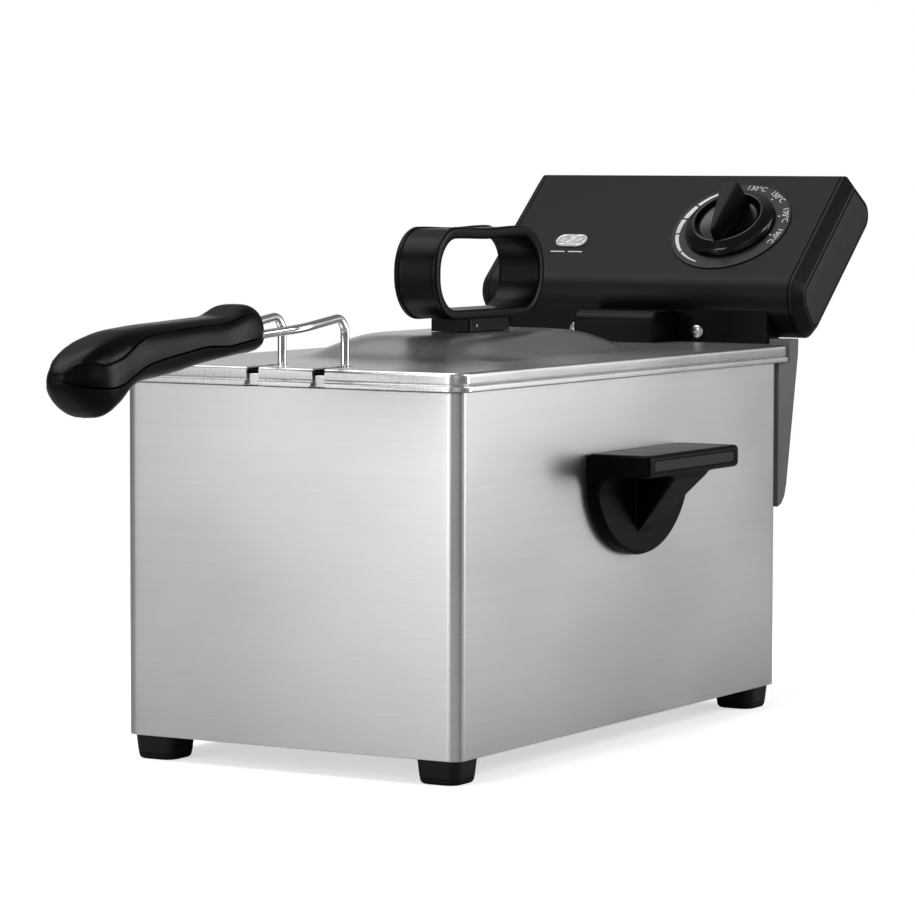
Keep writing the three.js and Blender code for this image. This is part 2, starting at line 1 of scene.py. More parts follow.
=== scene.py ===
import bpy, bmesh, math
from mathutils import Matrix, Vector

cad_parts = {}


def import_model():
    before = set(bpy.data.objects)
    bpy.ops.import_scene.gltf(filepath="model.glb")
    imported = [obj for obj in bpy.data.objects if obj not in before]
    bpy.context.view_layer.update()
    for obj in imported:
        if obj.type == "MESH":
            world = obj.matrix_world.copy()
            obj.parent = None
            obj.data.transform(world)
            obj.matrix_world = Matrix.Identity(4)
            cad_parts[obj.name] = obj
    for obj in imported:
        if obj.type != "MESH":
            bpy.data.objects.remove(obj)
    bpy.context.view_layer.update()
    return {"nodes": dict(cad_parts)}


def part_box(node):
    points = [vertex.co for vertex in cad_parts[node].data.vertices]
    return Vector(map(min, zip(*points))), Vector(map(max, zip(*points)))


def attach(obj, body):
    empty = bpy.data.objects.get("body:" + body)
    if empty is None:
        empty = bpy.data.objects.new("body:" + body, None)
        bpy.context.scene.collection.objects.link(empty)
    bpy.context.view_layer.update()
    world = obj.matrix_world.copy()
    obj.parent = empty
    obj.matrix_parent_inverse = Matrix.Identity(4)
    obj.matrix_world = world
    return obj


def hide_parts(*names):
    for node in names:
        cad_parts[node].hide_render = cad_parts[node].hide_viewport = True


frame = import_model()

# ------------------------------------------------------------------ frame
# The pieces are laid out in millimetres: x from the middle, y from the housing's front wall, z from its bottom edge.
_lo, _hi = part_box("casing_front")
OX, OY, OZ = (_lo.x + _hi.x) / 2, _lo.y, _lo.z
W, D, H = 180.0, 325.0, 165.0


def M(p):
    return Vector((OX + p[0] / 1000, OY + p[1] / 1000, OZ + p[2] / 1000))


# ------------------------------------------------------------------ mesh helpers
def loft(rings, caps=(True, True), loop=False):
    n = len(rings[0])
    v = [p for r in rings for p in r]
    f = []
    m = len(rings)
    for k in range(m if loop else m - 1):
        a0, b0 = k * n, ((k + 1) % m) * n
        for i in range(n):
            j = (i + 1) % n
            f.append((a0 + i, a0 + j, b0 + j, b0 + i))
    if not loop and caps[0]:
        f.append(tuple(reversed(range(n))))
    if not loop and caps[1]:
        f.append(tuple(range((m - 1) * n, m * n)))
    return v, f


def merge(*shapes):
    v, f = [], []
    for sv, sf in shapes:
        o = len(v)
        v += list(sv)
        f += [tuple(i + o for i in q) for q in sf]
    return v, f


def rr(x0, x1, y0, y1, r, n=8):
    """Rounded rectangle, counter-clockwise."""
    r = max(r, 0.02)
    out = []
    for cx, cy, a in ((x1 - r, y0 + r, -90), (x1 - r, y1 - r, 0), (x0 + r, y1 - r, 90), (x0 + r, y0 + r, 180)):
        for i in range(n + 1):
            t = math.radians(a + 90 * i / n)
            out.append((cx + r * math.cos(t), cy + r * math.sin(t)))
    return out


def rrm(x0, x1, y0, y1, r, n=8, m=4):
    """Rounded rectangle with m extra points along each straight side."""
    pts = rr(x0, x1, y0, y1, r, n)
    out = []
    k = n + 1
    for c in range(4):
        out += pts[c * k:(c + 1) * k]
        a, b = pts[c * k + n], pts[((c + 1) * k) % len(pts)]
        for j in range(1, m + 1):
            t = j / (m + 1)
            out.append((a[0] + (b[0] - a[0]) * t, a[1] + (b[1] - a[1]) * t))
    return out


def fillet(pts, radii, segs, d=0.0):
    """Polygon with rounded corners, moved inwards by d; the count of points doesn't depend on d."""
    n = len(pts)
    area = sum(pts[i][0] * pts[(i + 1) % n][1] - pts[(i + 1) % n][0] * pts[i][1] for i in range(n))
    sgn = 1 if area > 0 else -1

    def inward(a, b):
        e = (b[0] - a[0], b[1] - a[1])
        l = math.hypot(*e)
        return (-e[1] / l * sgn, e[0] / l * sgn)

    corner = []
    for i in range(n):
        a, b, c = pts[i - 1], pts[i], pts[(i + 1) % n]
        n1, n2 = inward(a, b), inward(b, c)
        m = (n1[0] + n2[0], n1[1] + n2[1])
        l = math.hypot(*m)
        m = (m[0] / l, m[1] / l)
        k = d / (m[0] * n1[0] + m[1] * n1[1])
        cross = ((b[0] - a[0]) * (c[1] - b[1]) - (b[1] - a[1]) * (c[0] - b[0])) * sgn
        corner.append(((b[0] + m[0] * k, b[1] + m[1] * k), max(radii[i] + (-d if cross > 0 else d), 0.05)))
    out = []
    for i in range(n):
        a, (b, r), c = corner[i - 1][0], corner[i], corner[(i + 1) % n][0]
        u = Vector((a[0] - b[0], a[1] - b[1])).normalized()
        w = Vector((c[0] - b[0], c[1] - b[1])).normalized()
        half = math.acos(max(-1, min(1, u.dot(w)))) / 2
        l = r / math.tan(half)
        cen = Vector(b) + (u + w).normalized() * (r / math.sin(half))
        p0, p1 = Vector(b) + u * l, Vector(b) + w * l
        a0 = math.atan2(p0.y - cen.y, p0.x - cen.x)
        da = math.atan2(p1.y - cen.y, p1.x - cen.x) - a0
        while da > math.pi:
            da -= 2 * math.pi
        while da < -math.pi:
            da += 2 * math.pi
        for j in range(segs[i] + 1):
            t = a0 + da * j / segs[i]
            out.append((cen.x + r * math.cos(t), cen.y + r * math.sin(t)))
    return out


def prism(outline, a0, a1, e0, e1, to3d, k=3):
    """outline(d) gives the section moved in by d; e0 and e1 are the edge radii of its two ends."""
    rings = []
    if e0 > 0:
        for j in range(k + 1):
            t = math.radians(90 * j / k)
            rings.append((e0 * (1 - math.sin(t)), a0 + e0 * (1 - math.cos(t))))
    else:
        rings.append((0, a0))
    if e1 > 0:
        for j in range(k + 1):
            t = math.radians(90 * (1 - j / k))
            rings.append((e1 * (1 - math.sin(t)), a1 - e1 * (1 - math.cos(t))))
    else:
        rings.append((0, a1))
    return loft([[to3d(u, v, a) for u, v in outline(d)] for d, a in rings])


XY = lambda u, v, a: (u, v, a)
YZ = lambda u, v, a: (a, u, v)
XZ = lambda u, v, a: (u, a, v)


def frames(path, closed=False):
    """Point, and two directions across it, along a path, without twist."""
    P = [Vector(p) for p in path]
    n = len(P)
    T = []
    for i in range(n):
        a = P[i - 1] if i or closed else P[i]
        b = P[(i + 1) % n] if i + 1 < n or closed else P[i]
        T.append((b - a).normalized())
    ref = Vector((0, 0, 1)) if abs(T[0].z) < 0.9 else Vector((1, 0, 0))
    u = ref.cross(T[0]).normalized()
    out = []
    for i in range(n):
        if i:
            u = (u - T[i] * u.dot(T[i])).normalized()
        out.append((P[i], u.copy(), T[i].cross(u).normalized(), T[i]))
    return out


def tube(path, r, n=12, ends=True, closed=False):
    fr = frames(path, closed)
    rings = []
    if ends and not closed:
        p, u, w, t = fr[0]
        for k in (0.25, 0.7):
            rings.append([tuple(p - t * r * 0.35 * (1 - k) + (u * math.cos(a) + w * math.sin(a)) * r * math.sqrt(k)) for a in [2 * math.pi * i / n for i in range(n)]])
    for p, u, w, t in fr:
        rings.append([tuple(p + (u * math.cos(a) + w * math.sin(a)) * r) for a in [2 * math.pi * i / n for i in range(n)]])
    if ends and not closed:
        p, u, w, t = fr[-1]
        for k in (0.7, 0.25):
            rings.append([tuple(p + t * r * 0.35 * (1 - k) + (u * math.cos(a) + w * math.sin(a)) * r * math.sqrt(k)) for a in [2 * math.pi * i / n for i in range(n)]])
    return loft(rings, loop=closed)


def bend_path(points, bend, seg=7, step=12.0):
    """Straight runs with rounded corners."""
    P = [Vector(p) for p in points]
    out = [P[0]]

    def run(a, b):
        m = max(1, int((b - a).length / step))
        for i in range(1, m + 1):
            out.append(a.lerp(b, i / m))

    last = P[0]
    for i in range(1, len(P) - 1):
        a, b = (P[i - 1] - P[i]).normalized(), (P[i + 1] - P[i]).normalized()
        half = math.acos(max(-1, min(1, a.dot(b)))) / 2
        if half > math.radians(89.0):
            run(last, P[i])
            last = P[i]
            continue
        r = bend * math.tan(half)
        c = P[i] + (a + b).normalized() * (r / math.sin(half))
        s, e = P[i] + a * bend, P[i] + b * bend
        run(last, s)
        vs, ve = s - c, e - c
        ang = vs.angle(ve)
        ax = vs.cross(ve).normalized()
        for j in range(1, seg + 1):
            out.append(c + Matrix.Rotation(ang * j / seg, 3, ax) @ vs)
        last = e
    run(last, P[-1])
    return out


def lathe(profile, origin, ex, ey, ez, n=64):
    """Profile of (radius, height) turned round ez; a radius of 0 closes it."""
    o, ex, ey, ez = Vector(origin), Vector(ex), Vector(ey), Vector(ez)
    v, f, rows = [], [], []
    for r, h in profile:
        if r < 1e-6:
            rows.append([len(v)])
            v.append(tuple(o + ez * h))
        else:
            rows.append(list(range(len(v), len(v) + n)))
            for i in range(n):
                t = 2 * math.pi * i / n
                v.append(tuple(o + (ex * math.cos(t) + ey * math.sin(t)) * r + ez * h))
    for a, b in zip(rows, rows[1:]):
        for i in range(n):
            j = (i + 1) % n
            if len(a) == 1 and len(b) > 1:
                f.append((a[0], b[j], b[i]))
            elif len(b) == 1 and len(a) > 1:
                f.append((a[i], a[j], b[0]))
            elif len(a) > 1:
                f.append((a[i], a[j], b[j], b[i]))
    return v, f


def rounded_profile(pts, radii, seg=4):
    """A polyline of (r, h) whose inner corners are rounded."""
    out = [pts[0]]
    for i in range(1, len(pts) - 1):
        a, b, c = Vector(pts[i - 1]), Vector(pts[i]), Vector(pts[i + 1])
        u, w = (a - b).normalized(), (c - b).normalized()
        l = min(radii[i], (a - b).length * 0.49, (c - b).length * 0.49)
        if l < 1e-3:
            out.append(tuple(b))
            continue
        for j in range(seg + 1):
            t = j / seg
            out.append(tuple((b + u * l) * (1 - t) ** 2 + b * 2 * t * (1 - t) + (b + w * l) * t * t))
    out.append(pts[-1])
    return out


def mirror(shape):
    v, f = shape
    return [(-p[0], p[1], p[2]) for p in v], [tuple(reversed(q)) for q in f]


def link(name, me):
    o = bpy.data.objects.new(name, me)
    bpy.context.scene.collection.objects.link(o)
    return o


def clean(me, angle):
    bm = bmesh.new()
    bm.from_mesh(me)
    bmesh.ops.remove_doubles(bm, verts=bm.verts, dist=2e-6)
    bmesh.ops.dissolve_degenerate(bm, dist=1e-6, edges=bm.edges)
    bmesh.ops.recalc_face_normals(bm, faces=bm.faces)
    for f in bm.faces:
        f.smooth = True
    lim = math.radians(angle)
    for e in bm.edges:
        e.smooth = not (len(e.link_faces) == 2 and e.calc_face_angle(0) > lim)
    bm.to_mesh(me)
    bm.free()


def make(name, shape, mat, body, nodes=(), bevel=0.0, seg=3, angle=35, sub=0, raw=False, limit=35):
    v, f = shape
    me = bpy.data.meshes.new(name)
    me.from_pydata([tuple(M(p)) for p in v] if not raw else v, [], f)
    clean(me, angle if not bevel else 180)
    o = link(name, me)
    me.materials.append(mat)
    return dress(o, body, nodes, bevel, seg, sub, limit)


def dress(o, body, nodes=(), bevel=0.0, seg=3, sub=0, limit=35):
    if bevel:
        b = o.modifiers.new("edges", "BEVEL")
        b.width, b.segments, b.limit_method = bevel / 1000, seg, "ANGLE"
        b.angle_limit = math.radians(limit)
        b.miter_outer = "MITER_ARC"
        b.harden_normals = False
    if sub:
        s = o.modifiers.new("fine", "SUBSURF")
        s.levels = s.render_levels = sub
    w = o.modifiers.new("even", "WEIGHTED_NORMAL")
    w.keep_sharp = True
    w.weight = 80
    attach(o, body)
    if nodes:
        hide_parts(*nodes)
    return o


def carve(o, *cutters, op="DIFFERENCE"):
    """Applies exact booleans to o's mesh."""
    for v, f in cutters:
        me = bpy.data.meshes.new("cutter")
        me.from_pydata([tuple(M(p)) for p in v], [], f)
        clean(me, 30)
        c = link("cutter", me)
        m = o.modifiers.new("cut", "BOOLEAN")
        m.operation, m.solver, m.object = op, "EXACT", c
        names = [x.name for x in o.modifiers]
        o.modifiers.move(len(names) - 1, 0)
        bpy.context.view_layer.update()
        others = [x for x in o.modifiers if x.name != m.name]
        shown = [(x, x.show_viewport) for x in others]
        for x in others:
            x.show_viewport = False
        bpy.context.view_layer.update()
        dg = bpy.context.evaluated_depsgraph_get()
        new = bpy.data.meshes.new_from_object(o.evaluated_get(dg))
        for x, s in shown:
            x.show_viewport = s
        o.modifiers.remove(m)
        old = o.data
        o.data = new
        bpy.data.meshes.remove(old)
        bpy.data.objects.remove(c)
        bpy.data.meshes.remove(me)
    return o


def resharp(o, angle=35):
    clean(o.data, angle)
    return o


def refine(node, name, mat, body, bevel, seg=2, limit=30):
    """A CAD node's shape with its flat faces joined and every edge rounded."""
    src = frame["nodes"][node]
    me = src.data.copy()
    me.name = name
    me.materials.clear()
    me.materials.append(mat)
    if me.has_custom_normals:
        for a in ("custom_normal",):
            if a in me.attributes:
                me.attributes.remove(me.attributes[a])
    bm = bmesh.new()
    bm.from_mesh(me)
    bmesh.ops.remove_doubles(bm, verts=bm.verts, dist=3e-6)
    bmesh.ops.dissolve_limit(bm, angle_limit=math.radians(1.0), verts=bm.verts, edges=bm.edges)
    bmesh.ops.recalc_face_normals(bm, faces=bm.faces)
    for f in bm.faces:
        f.smooth = True
    for e in bm.edges:
        e.smooth = True
    bm.to_mesh(me)
    bm.free()
    o = link(name, me)
    return dress(o, body, (node,), bevel, seg, 0, limit)


def boxs(x0, x1, y0, y1, z0, z1):
    return loft([[(x0, y0, z), (x1, y0, z), (x1, y1, z), (x0, y1, z)] for z in (z0, z1)])


def rod(a, b, r, n=24, r2=None):
    A, B = Vector(a), Vector(b)
    t = (B - A).normalized()
    ref = Vector((0, 0, 1)) if abs(t.z) < 0.9 else Vector((1, 0, 0))
    u = ref.cross(t).normalized()
    w = t.cross(u)
    q = r if r2 is None else r2
    ring = lambda p, rad: [tuple(p + (u * math.cos(2 * math.pi * i / n) + w * math.sin(2 * math.pi * i / n)) * rad) for i in range(n)]
    return loft([ring(A, r), ring(B, q)])


# ------------------------------------------------------------------ materials
class Mat:
    def __init__(self, name, base, rough, metal=0.0, **sockets):
        m = bpy.data.materials.new(name)
        m.use_nodes = True
        self.m, self.t = m, m.node_tree
        self.b = self.t.nodes["Principled BSDF"]
        self.b.inputs["Base Color"].default_value = (*base, 1)
        self.b.inputs["Roughness"].default_value = rough
        self.b.inputs["Metallic"].default_value = metal
        for k, v in sockets.items():
            self.b.inputs[k.replace("_", " ")].default_value = v
        self.x = self.t.nodes.new("ShaderNodeTexCoord")
        m.diffuse_color = (*base, 1)

    def n(self, kind, **kw):
        node = self.t.nodes.new(kind)
        for k, v in kw.items():
            setattr(node, k, v)
        return node

    def l(self, a, b):
        self.t.links.new(a, b)

    def coords(self, scale):
        mp = self.n("ShaderNodeMapping")
        mp.inputs["Scale"].default_value = scale
        self.l(self.x.outputs["Object"], mp.inputs["Vector"])
        return mp.outputs["Vector"]

    def noise(self, scale, detail=4.0, rough=0.55, vec=None, lac=2.0):
        t = self.n("ShaderNodeTexNoise")
        t.inputs["Scale"].default_value = 1.0
        t.inputs["Detail"].default_value = detail
        t.inputs["Roughness"].default_value = rough
        t.inputs["Lacunarity"].default_value = lac
        self.l(vec if vec is not None else self.coords(scale), t.inputs["Vector"])
        return t.outputs["Fac"]

    def span(self, fac, lo, hi, a=0.3, b=0.7):
        r = self.n("ShaderNodeMapRange")
        r.inputs["From Min"].default_value, r.inputs["From Max"].default_value = a, b
        r.inputs["To Min"].default_value, r.inputs["To Max"].default_value = lo, hi
        self.l(fac, r.inputs["Value"])
        return r.outputs["Result"]

    def colour(self, fac, c0, c1, a=0.3, b=0.7):
        r = self.n("ShaderNodeValToRGB")
        r.color_ramp.elements[0].position, r.color_ramp.elements[1].position = a, b
        r.color_ramp.elements[0].color, r.color_ramp.elements[1].color = (*c0, 1), (*c1, 1)
        self.l(fac, r.inputs["Fac"])
        return r.outputs["Color"]

    def bump(self, height, strength, dist, after=None):
        b = self.n("ShaderNodeBump")
        b.inputs["Strength"].default_value = strength
        b.inputs["Distance"].default_value = dist
        self.l(height, b.inputs["Height"])
        if after is not None:
            self.l(after, b.inputs["Normal"])
        return b.outputs["Normal"]

    def mix(self, fac, a, b, data="FLOAT"):
        m = self.n("ShaderNodeMix", data_type=data)
        self.l(fac, m.inputs["Factor"])
        i = 2 if data == "FLOAT" else 6
        self.l(a, m.inputs[i])
        self.l(b, m.inputs[i + 1])
        return m.outputs[0 if data == "FLOAT" else 2]


def steel(name, c0, c1, r0, r1, kind, bump=0.25, cloud=0.0, specks=True):
    """Brushed sheet. kind 'wall': lines run level round the walls. kind 'lid': lines run front to back and bend down over the front and rear."""
    k = Mat(name, c1, (r0 + r1) / 2, 1.0)
    if kind == "wall":
        fine = k.noise((18, 18, 3400), 3, 0.6)
        broad = k.noise((7, 7, 1300), 3, 0.6)
    elif kind == "lid":
        nrm = k.n("ShaderNodeSeparateXYZ")
        k.l(k.x.outputs["Normal"], nrm.inputs[0])
        side = k.n("ShaderNodeMath", operation="ABSOLUTE")
        k.l(nrm.outputs[0], side.inputs[0])
        sf = k.span(side.outputs[0], 0.0, 1.0, 0.55, 0.8)
        fine = k.mix(sf, k.noise((3000, 16, 16), 3, 0.6), k.noise((16, 16, 3000), 3, 0.6))
        broad = k.mix(sf, k.noise((1100, 7, 7), 3, 0.6), k.noise((7, 24, 1100), 3, 0.6))
    else:
        fine = k.noise((60, 60, 900), 3, 0.6)
        broad = k.noise((30, 30, 60), 3, 0.6)
    patch = k.noise((9, 9, 14), 3, 0.5)
    col = k.colour(broad, c0, c1)
    col2 = k.colour(patch, tuple(c * (1 - cloud) for c in c0), c1, 0.35, 0.65)
    k.l(k.mix(k.span(fine, 0.25, 0.75), col, col2, "RGBA"), k.b.inputs["Base Color"])
    k.l(k.mix(k.span(broad, 0.2, 0.8), k.span(fine, r0, r1, 0.25, 0.75), k.span(patch, r0, r1, 0.35, 0.65)), k.b.inputs["Roughness"])
    n1 = k.bump(fine, bump, 0.00004)
    k.l(k.bump(broad, bump * 0.6, 0.00005, n1), k.b.inputs["Normal"])
    return k.m


def plastic(name, c0, c1, r0, r1, grain=2600, bump=0.12, dist=0.00003, spec=0.5, coat=0.0, wave=0.0):
    k = Mat(name, c1, (r0 + r1) / 2, 0.0)
    k.b.inputs["Specular IOR Level"].default_value = spec
    if coat:
        k.b.inputs["Coat Weight"].default_value = coat
        k.b.inputs["Coat Roughness"].default_value = 0.08
    g = k.noise((grain, grain, grain), 2, 0.5)
    soft = k.noise((26, 26, 26), 4, 0.55)
    k.l(k.colour(soft, c0, c1), k.b.inputs["Base Color"])
    k.l(k.mix(k.span(g, 0.35, 0.65), k.span(soft, r0, r1), k.span(g, r0, r1)), k.b.inputs["Roughness"])
    n1 = k.bump(g, bump, dist)
    if wave:
        n1 = k.bump(k.noise((34, 34, 34), 1, 0.4), wave, 0.0004, n1)
    k.l(n1, k.b.inputs["Normal"])
    return k.m


CASE = steel("casing_brushed", (0.565, 0.565, 0.565), (0.635, 0.635, 0.635), 0.32, 0.40, "wall", 0.05)
LID = steel("lid_brushed", (0.59, 0.59, 0.59), (0.70, 0.70, 0.70), 0.24, 0.32, "lid", 0.02, 0.02)
PAN = steel("pan_sheet", (0.46, 0.46, 0.455), (0.60, 0.60, 0.595), 0.16, 0.30, "wall", 0.12, 0.1)
CHROME = steel("wire_chrome", (0.86, 0.86, 0.86), (0.94, 0.94, 0.94), 0.08, 0.16, "plain", 0.01)
SCREW = steel("screw_zinc", (0.55, 0.55, 0.55), (0.78, 0.78, 0.78), 0.16, 0.30, "plain", 0.1)
ELEM = steel("element_oxide", (0.10, 0.10, 0.10), (0.24, 0.235, 0.23), 0.32, 0.5, "plain", 0.3)
GUARD = steel("guard_sheet", (0.42, 0.42, 0.42), (0.58, 0.58, 0.58), 0.25, 0.4, "wall", 0.15)
SATIN = plastic("head_satin_black", (0.0022, 0.0022, 0.0024), (0.0042, 0.0042, 0.0045), 0.38, 0.5, 2400, 0.14, 0.00003, 0.17)
GRIPM = plastic("grip_satin_black", (0.0015, 0.0015, 0.0016), (0.0032, 0.0032, 0.0034), 0.24, 0.34, 3000, 0.05, 0.00002, 0.10)
LOOPM = plastic("loop_satin_black", (0.0015, 0.0015, 0.0016), (0.0032, 0.0032, 0.0034), 0.26, 0.38, 3000, 0.05, 0.00002, 0.12)
GLOSS = plastic("gloss_black", (0.0010, 0.0010, 0.0011), (0.0022, 0.0022, 0.0023), 0.10, 0.2, 900, 0.03, 0.00002, 0.4)
SHELF = plastic("handle_gloss_black", (0.0014, 0.0014, 0.0015), (0.0028, 0.0028, 0.003), 0.3, 0.42, 2200, 0.2, 0.00004, 0.07)
TRIM = plastic("trim_dark_grey", (0.006, 0.006, 0.0062), (0.011, 0.011, 0.0113), 0.45, 0.58, 2600, 0.25, 0.00004, 0.25)
INSET = plastic("inset_matt_black", (0.006, 0.006, 0.0062), (0.010, 0.010, 0.0103), 0.42, 0.55, 2600, 0.2, 0.00003, 0.25)
DISC = plastic("dial_disc", (0.0045, 0.0045, 0.0047), (0.0075, 0.0075, 0.0078), 0.36, 0.46, 2600, 0.08, 0.00002, 0.3)
GREY = plastic("bracket_grey", (0.10, 0.10, 0.10), (0.14, 0.14, 0.14), 0.42, 0.55, 2000, 0.2, 0.00004, 0.3)
BASE = plastic("base_black", (0.004, 0.004, 0.004), (0.008, 0.008, 0.008), 0.5, 0.62, 1600, 0.25, 0.00005, 0.25)
FOOT = plastic("foot_black", (0.003, 0.003, 0.003), (0.007, 0.007, 0.007), 0.34, 0.46, 1800, 0.2, 0.00004, 0.25)
RUBBER = plastic("pad_rubber", (0.004, 0.004, 0.004), (0.008, 0.008, 0.008), 0.6, 0.75, 1500, 0.3, 0.00005, 0.2)
NECK = plastic("neck_black", (0.0015, 0.0015, 0.0016), (0.003, 0.003, 0.0032), 0.26, 0.4, 2400, 0.12, 0.00003, 0.12)
PRINT = plastic("scale_print", (0.62, 0.62, 0.62), (0.78, 0.78, 0.78), 0.4, 0.55, 2600, 0.05, 0.00001, 0.4)
WHITE = plastic("lamp_rim_white", (0.55, 0.55, 0.55), (0.72, 0.72, 0.72), 0.25, 0.4, 1800, 0.08, 0.00002, 0.5)
BOARD = plastic("lamp_board_green", (0.02, 0.06, 0.03), (0.04, 0.1, 0.05), 0.35, 0.5, 900, 0.1, 0.00003, 0.5)
MICA = plastic("switch_body_grey", (0.03, 0.03, 0.03), (0.05, 0.05, 0.05), 0.4, 0.5, 1500, 0.15, 0.00003, 0.4)


def lens_material():
    k = Mat("lamp_lens", (0.8, 0.8, 0.8), 0.12, 0.0)
    k.b.inputs["Transmission Weight"].default_value = 0.25
    k.b.inputs["IOR"].default_value = 1.49
    v = k.n("ShaderNodeTexVoronoi")
    v.inputs["Scale"].default_value = 1.0
    k.l(k.coords((900, 900, 900)), v.inputs["Vector"])
    k.l(k.colour(v.outputs["Distance"], (0.9, 0.9, 0.9), (0.55, 0.55, 0.55), 0.1, 0.7), k.b.inputs["Base Color"])
    k.l(k.span(v.outputs["Distance"], 0.08, 0.22, 0.0, 0.8), k.b.inputs["Roughness"])
    k.l(k.bump(v.outputs["Distance"], 0.5, 0.0002), k.b.inputs["Normal"])
    return k.m


LENS = lens_material()

# ------------------------------------------------------------------ camera
yaw, pitch, roll = math.radians(30.18084), math.radians(4.08006), math.radians(0.13690)
fwd = Vector((-math.sin(yaw) * math.cos(pitch), math.cos(yaw) * math.cos(pitch), -math.sin(pitch)))
right = Vector((math.cos(yaw), math.sin(yaw), 0))
up = right.cross(fwd)
r2 = right * math.cos(roll) + up * math.sin(roll)
u2 = -right * math.sin(roll) + up * math.cos(roll)
cam_data = bpy.data.cameras.new("camera")
cam_data.sensor_width = 36
cam_data.lens = 4053.80 / 915 * 36
cam_data.clip_start, cam_data.clip_end = 0.05, 100
cam = bpy.data.objects.new("camera", cam_data)
bpy.context.scene.collection.objects.link(cam)
eye = M((989.782, -1548.640, 267.625))
cam.matrix_world = Matrix(((r2.x, u2.x, -fwd.x, eye.x), (r2.y, u2.y, -fwd.y, eye.y), (r2.z, u2.z, -fwd.z, eye.z), (0, 0, 0, 1)))
bpy.context.scene.camera = cam
bpy.context.scene.view_settings.view_transform = "Standard"

# ------------------------------------------------------------------ housing
T = 0.8  # sheet
RC = 6.2  # corner radius


def casing():
    # Arc angle measured from the front face; the two sheets meet part way round the corner.
    seam = 57.0
    gap = 2.6

    def side(angles, r, x):
        return [(W / 2 - RC + r * math.sin(math.radians(a)), RC - r * math.cos(math.radians(a))) for a in angles]

    n = 7
    a_front = [seam * i / n for i in range(n + 1)]
    a_wrap = [seam + gap + (90 - seam - gap) * i / n for i in range(n + 1)]

    def sheet(outer, inner, z0, z1, curl):
        # A strip through its outer and inner lines, with rounded top and bottom edges.
        prof = [(0, z0 + 0.3), (0.1, z0 + 0.08), (0.5, z0), (0.9, z0 + 0.08), (1, z0 + 0.3)]
        prof_t = [(1, z1 - 0.3), (0.9, z1 - 0.08), (0.5, z1), (0.1, z1 - 0.08), (0, z1 - 0.3)]
        rings = []
        for (px, py), (qx, qy) in zip(outer, inner):
            rings.append([(px + (qx - px) * t, py + (qy - py) * t, z) for t, z in prof + prof_t])
        return loft(rings)

    fo = side(a_front, RC, 0)
    fi = side(a_front, RC - T, 0)
    # edge of the front sheet rolls in a little at the seam
    fo.append(((fo[-1][0] + fi[-1][0]) / 2 + 0.26, (fo[-1][1] + fi[-1][1]) / 2 + 0.05))
    fi.append(((fo[-2][0] + fi[-1][0]) / 2 + 0.05, (fo[-2][1] + fi[-1][1]) / 2 + 0.05))
    mids = [(x, 0.0) for x in (80, 60, 40, 20, 0, -20, -40, -60, -80)]
    fo_all = list(reversed(fo)) + mids + [(-x, y) for x, y in fo]
    fi_all = list(reversed(fi)) + [(x, T) for x, _ in mids] + [(-x, y) for x, y in fi]
    front = sheet(fo_all, fi_all, 0, H, 0)
    # wrap: from the right seam back along the side, across the rear, and forward on the left
    wo, wi = side(a_wrap, RC, 0), side(a_wrap, RC - T, 0)
    wo.insert(0, ((wo[0][0] + wi[0][0]) / 2 + 0.2, (wo[0][1] + wi[0][1]) / 2 - 0.1))
    wi.insert(0, ((wo[1][0] + wi[0][0]) / 2 - 0.02, (wo[1][1] + wi[0][1]) / 2 - 0.02))
    ys = [RC + (D - 2 * RC) * i / 12 for i in range(1, 12)]
    xs = [W / 2 - RC - (W - 2 * RC) * i / 8 for i in range(1, 8)]
    arc = lambda r: [(W / 2 - RC + r * math.cos(math.radians(90 * i / 6)), D - RC + r * math.sin(math.radians(90 * i / 6))) for i in range(7)]
    half_o = wo + [(W / 2, y) for y in ys] + arc(RC)
    half_i = wi + [(W / 2 - T, y) for y in ys] + arc(RC - T)
    all_o = half_o + [(x, D) for x in xs] + [(-x, y) for x, y in reversed(half_o)]
    all_i = half_i + [(x, D - T) for x in xs] + [(-x, y) for x, y in reversed(half_i)]
    wrap = sheet(all_o, all_i, 0, H, 0)
    make("casing_front_sheet", front, CASE, "housing", ["casing_front"])
    make("casing_wrap_sheet", wrap, CASE, "housing", ["casing_wrap"])
    # narrow return flange that closes the seam from behind
    # narrow return flange that closes the seam from behind
    a0, a1 = math.radians(seam - 16), math.radians(seam + 18)
    pt_ = lambda a, q: (W / 2 - RC + q * math.sin(a), RC - q * math.cos(a))
    o0, o1, i0, i1 = pt_(a0, RC - T - 0.05), pt_(a1, RC - T - 0.05), pt_(a0, RC - T - 0.85), pt_(a1, RC - T - 0.85)
    om, im = pt_((a0 + a1) / 2, RC - T - 0.05), pt_((a0 + a1) / 2, RC - T - 0.85)
    strip = loft([[(*q, z) for q in (o0, om, o1, i1, im, i0)] for z in (1.0, H - 1.0)])
    make("casing_corner_strips", merge(strip, mirror(strip)), GUARD, "housing", bevel=0.1, seg=2)


casing()
refine("base_plate", "base_tray", BASE, "housing", 0.4, 2)

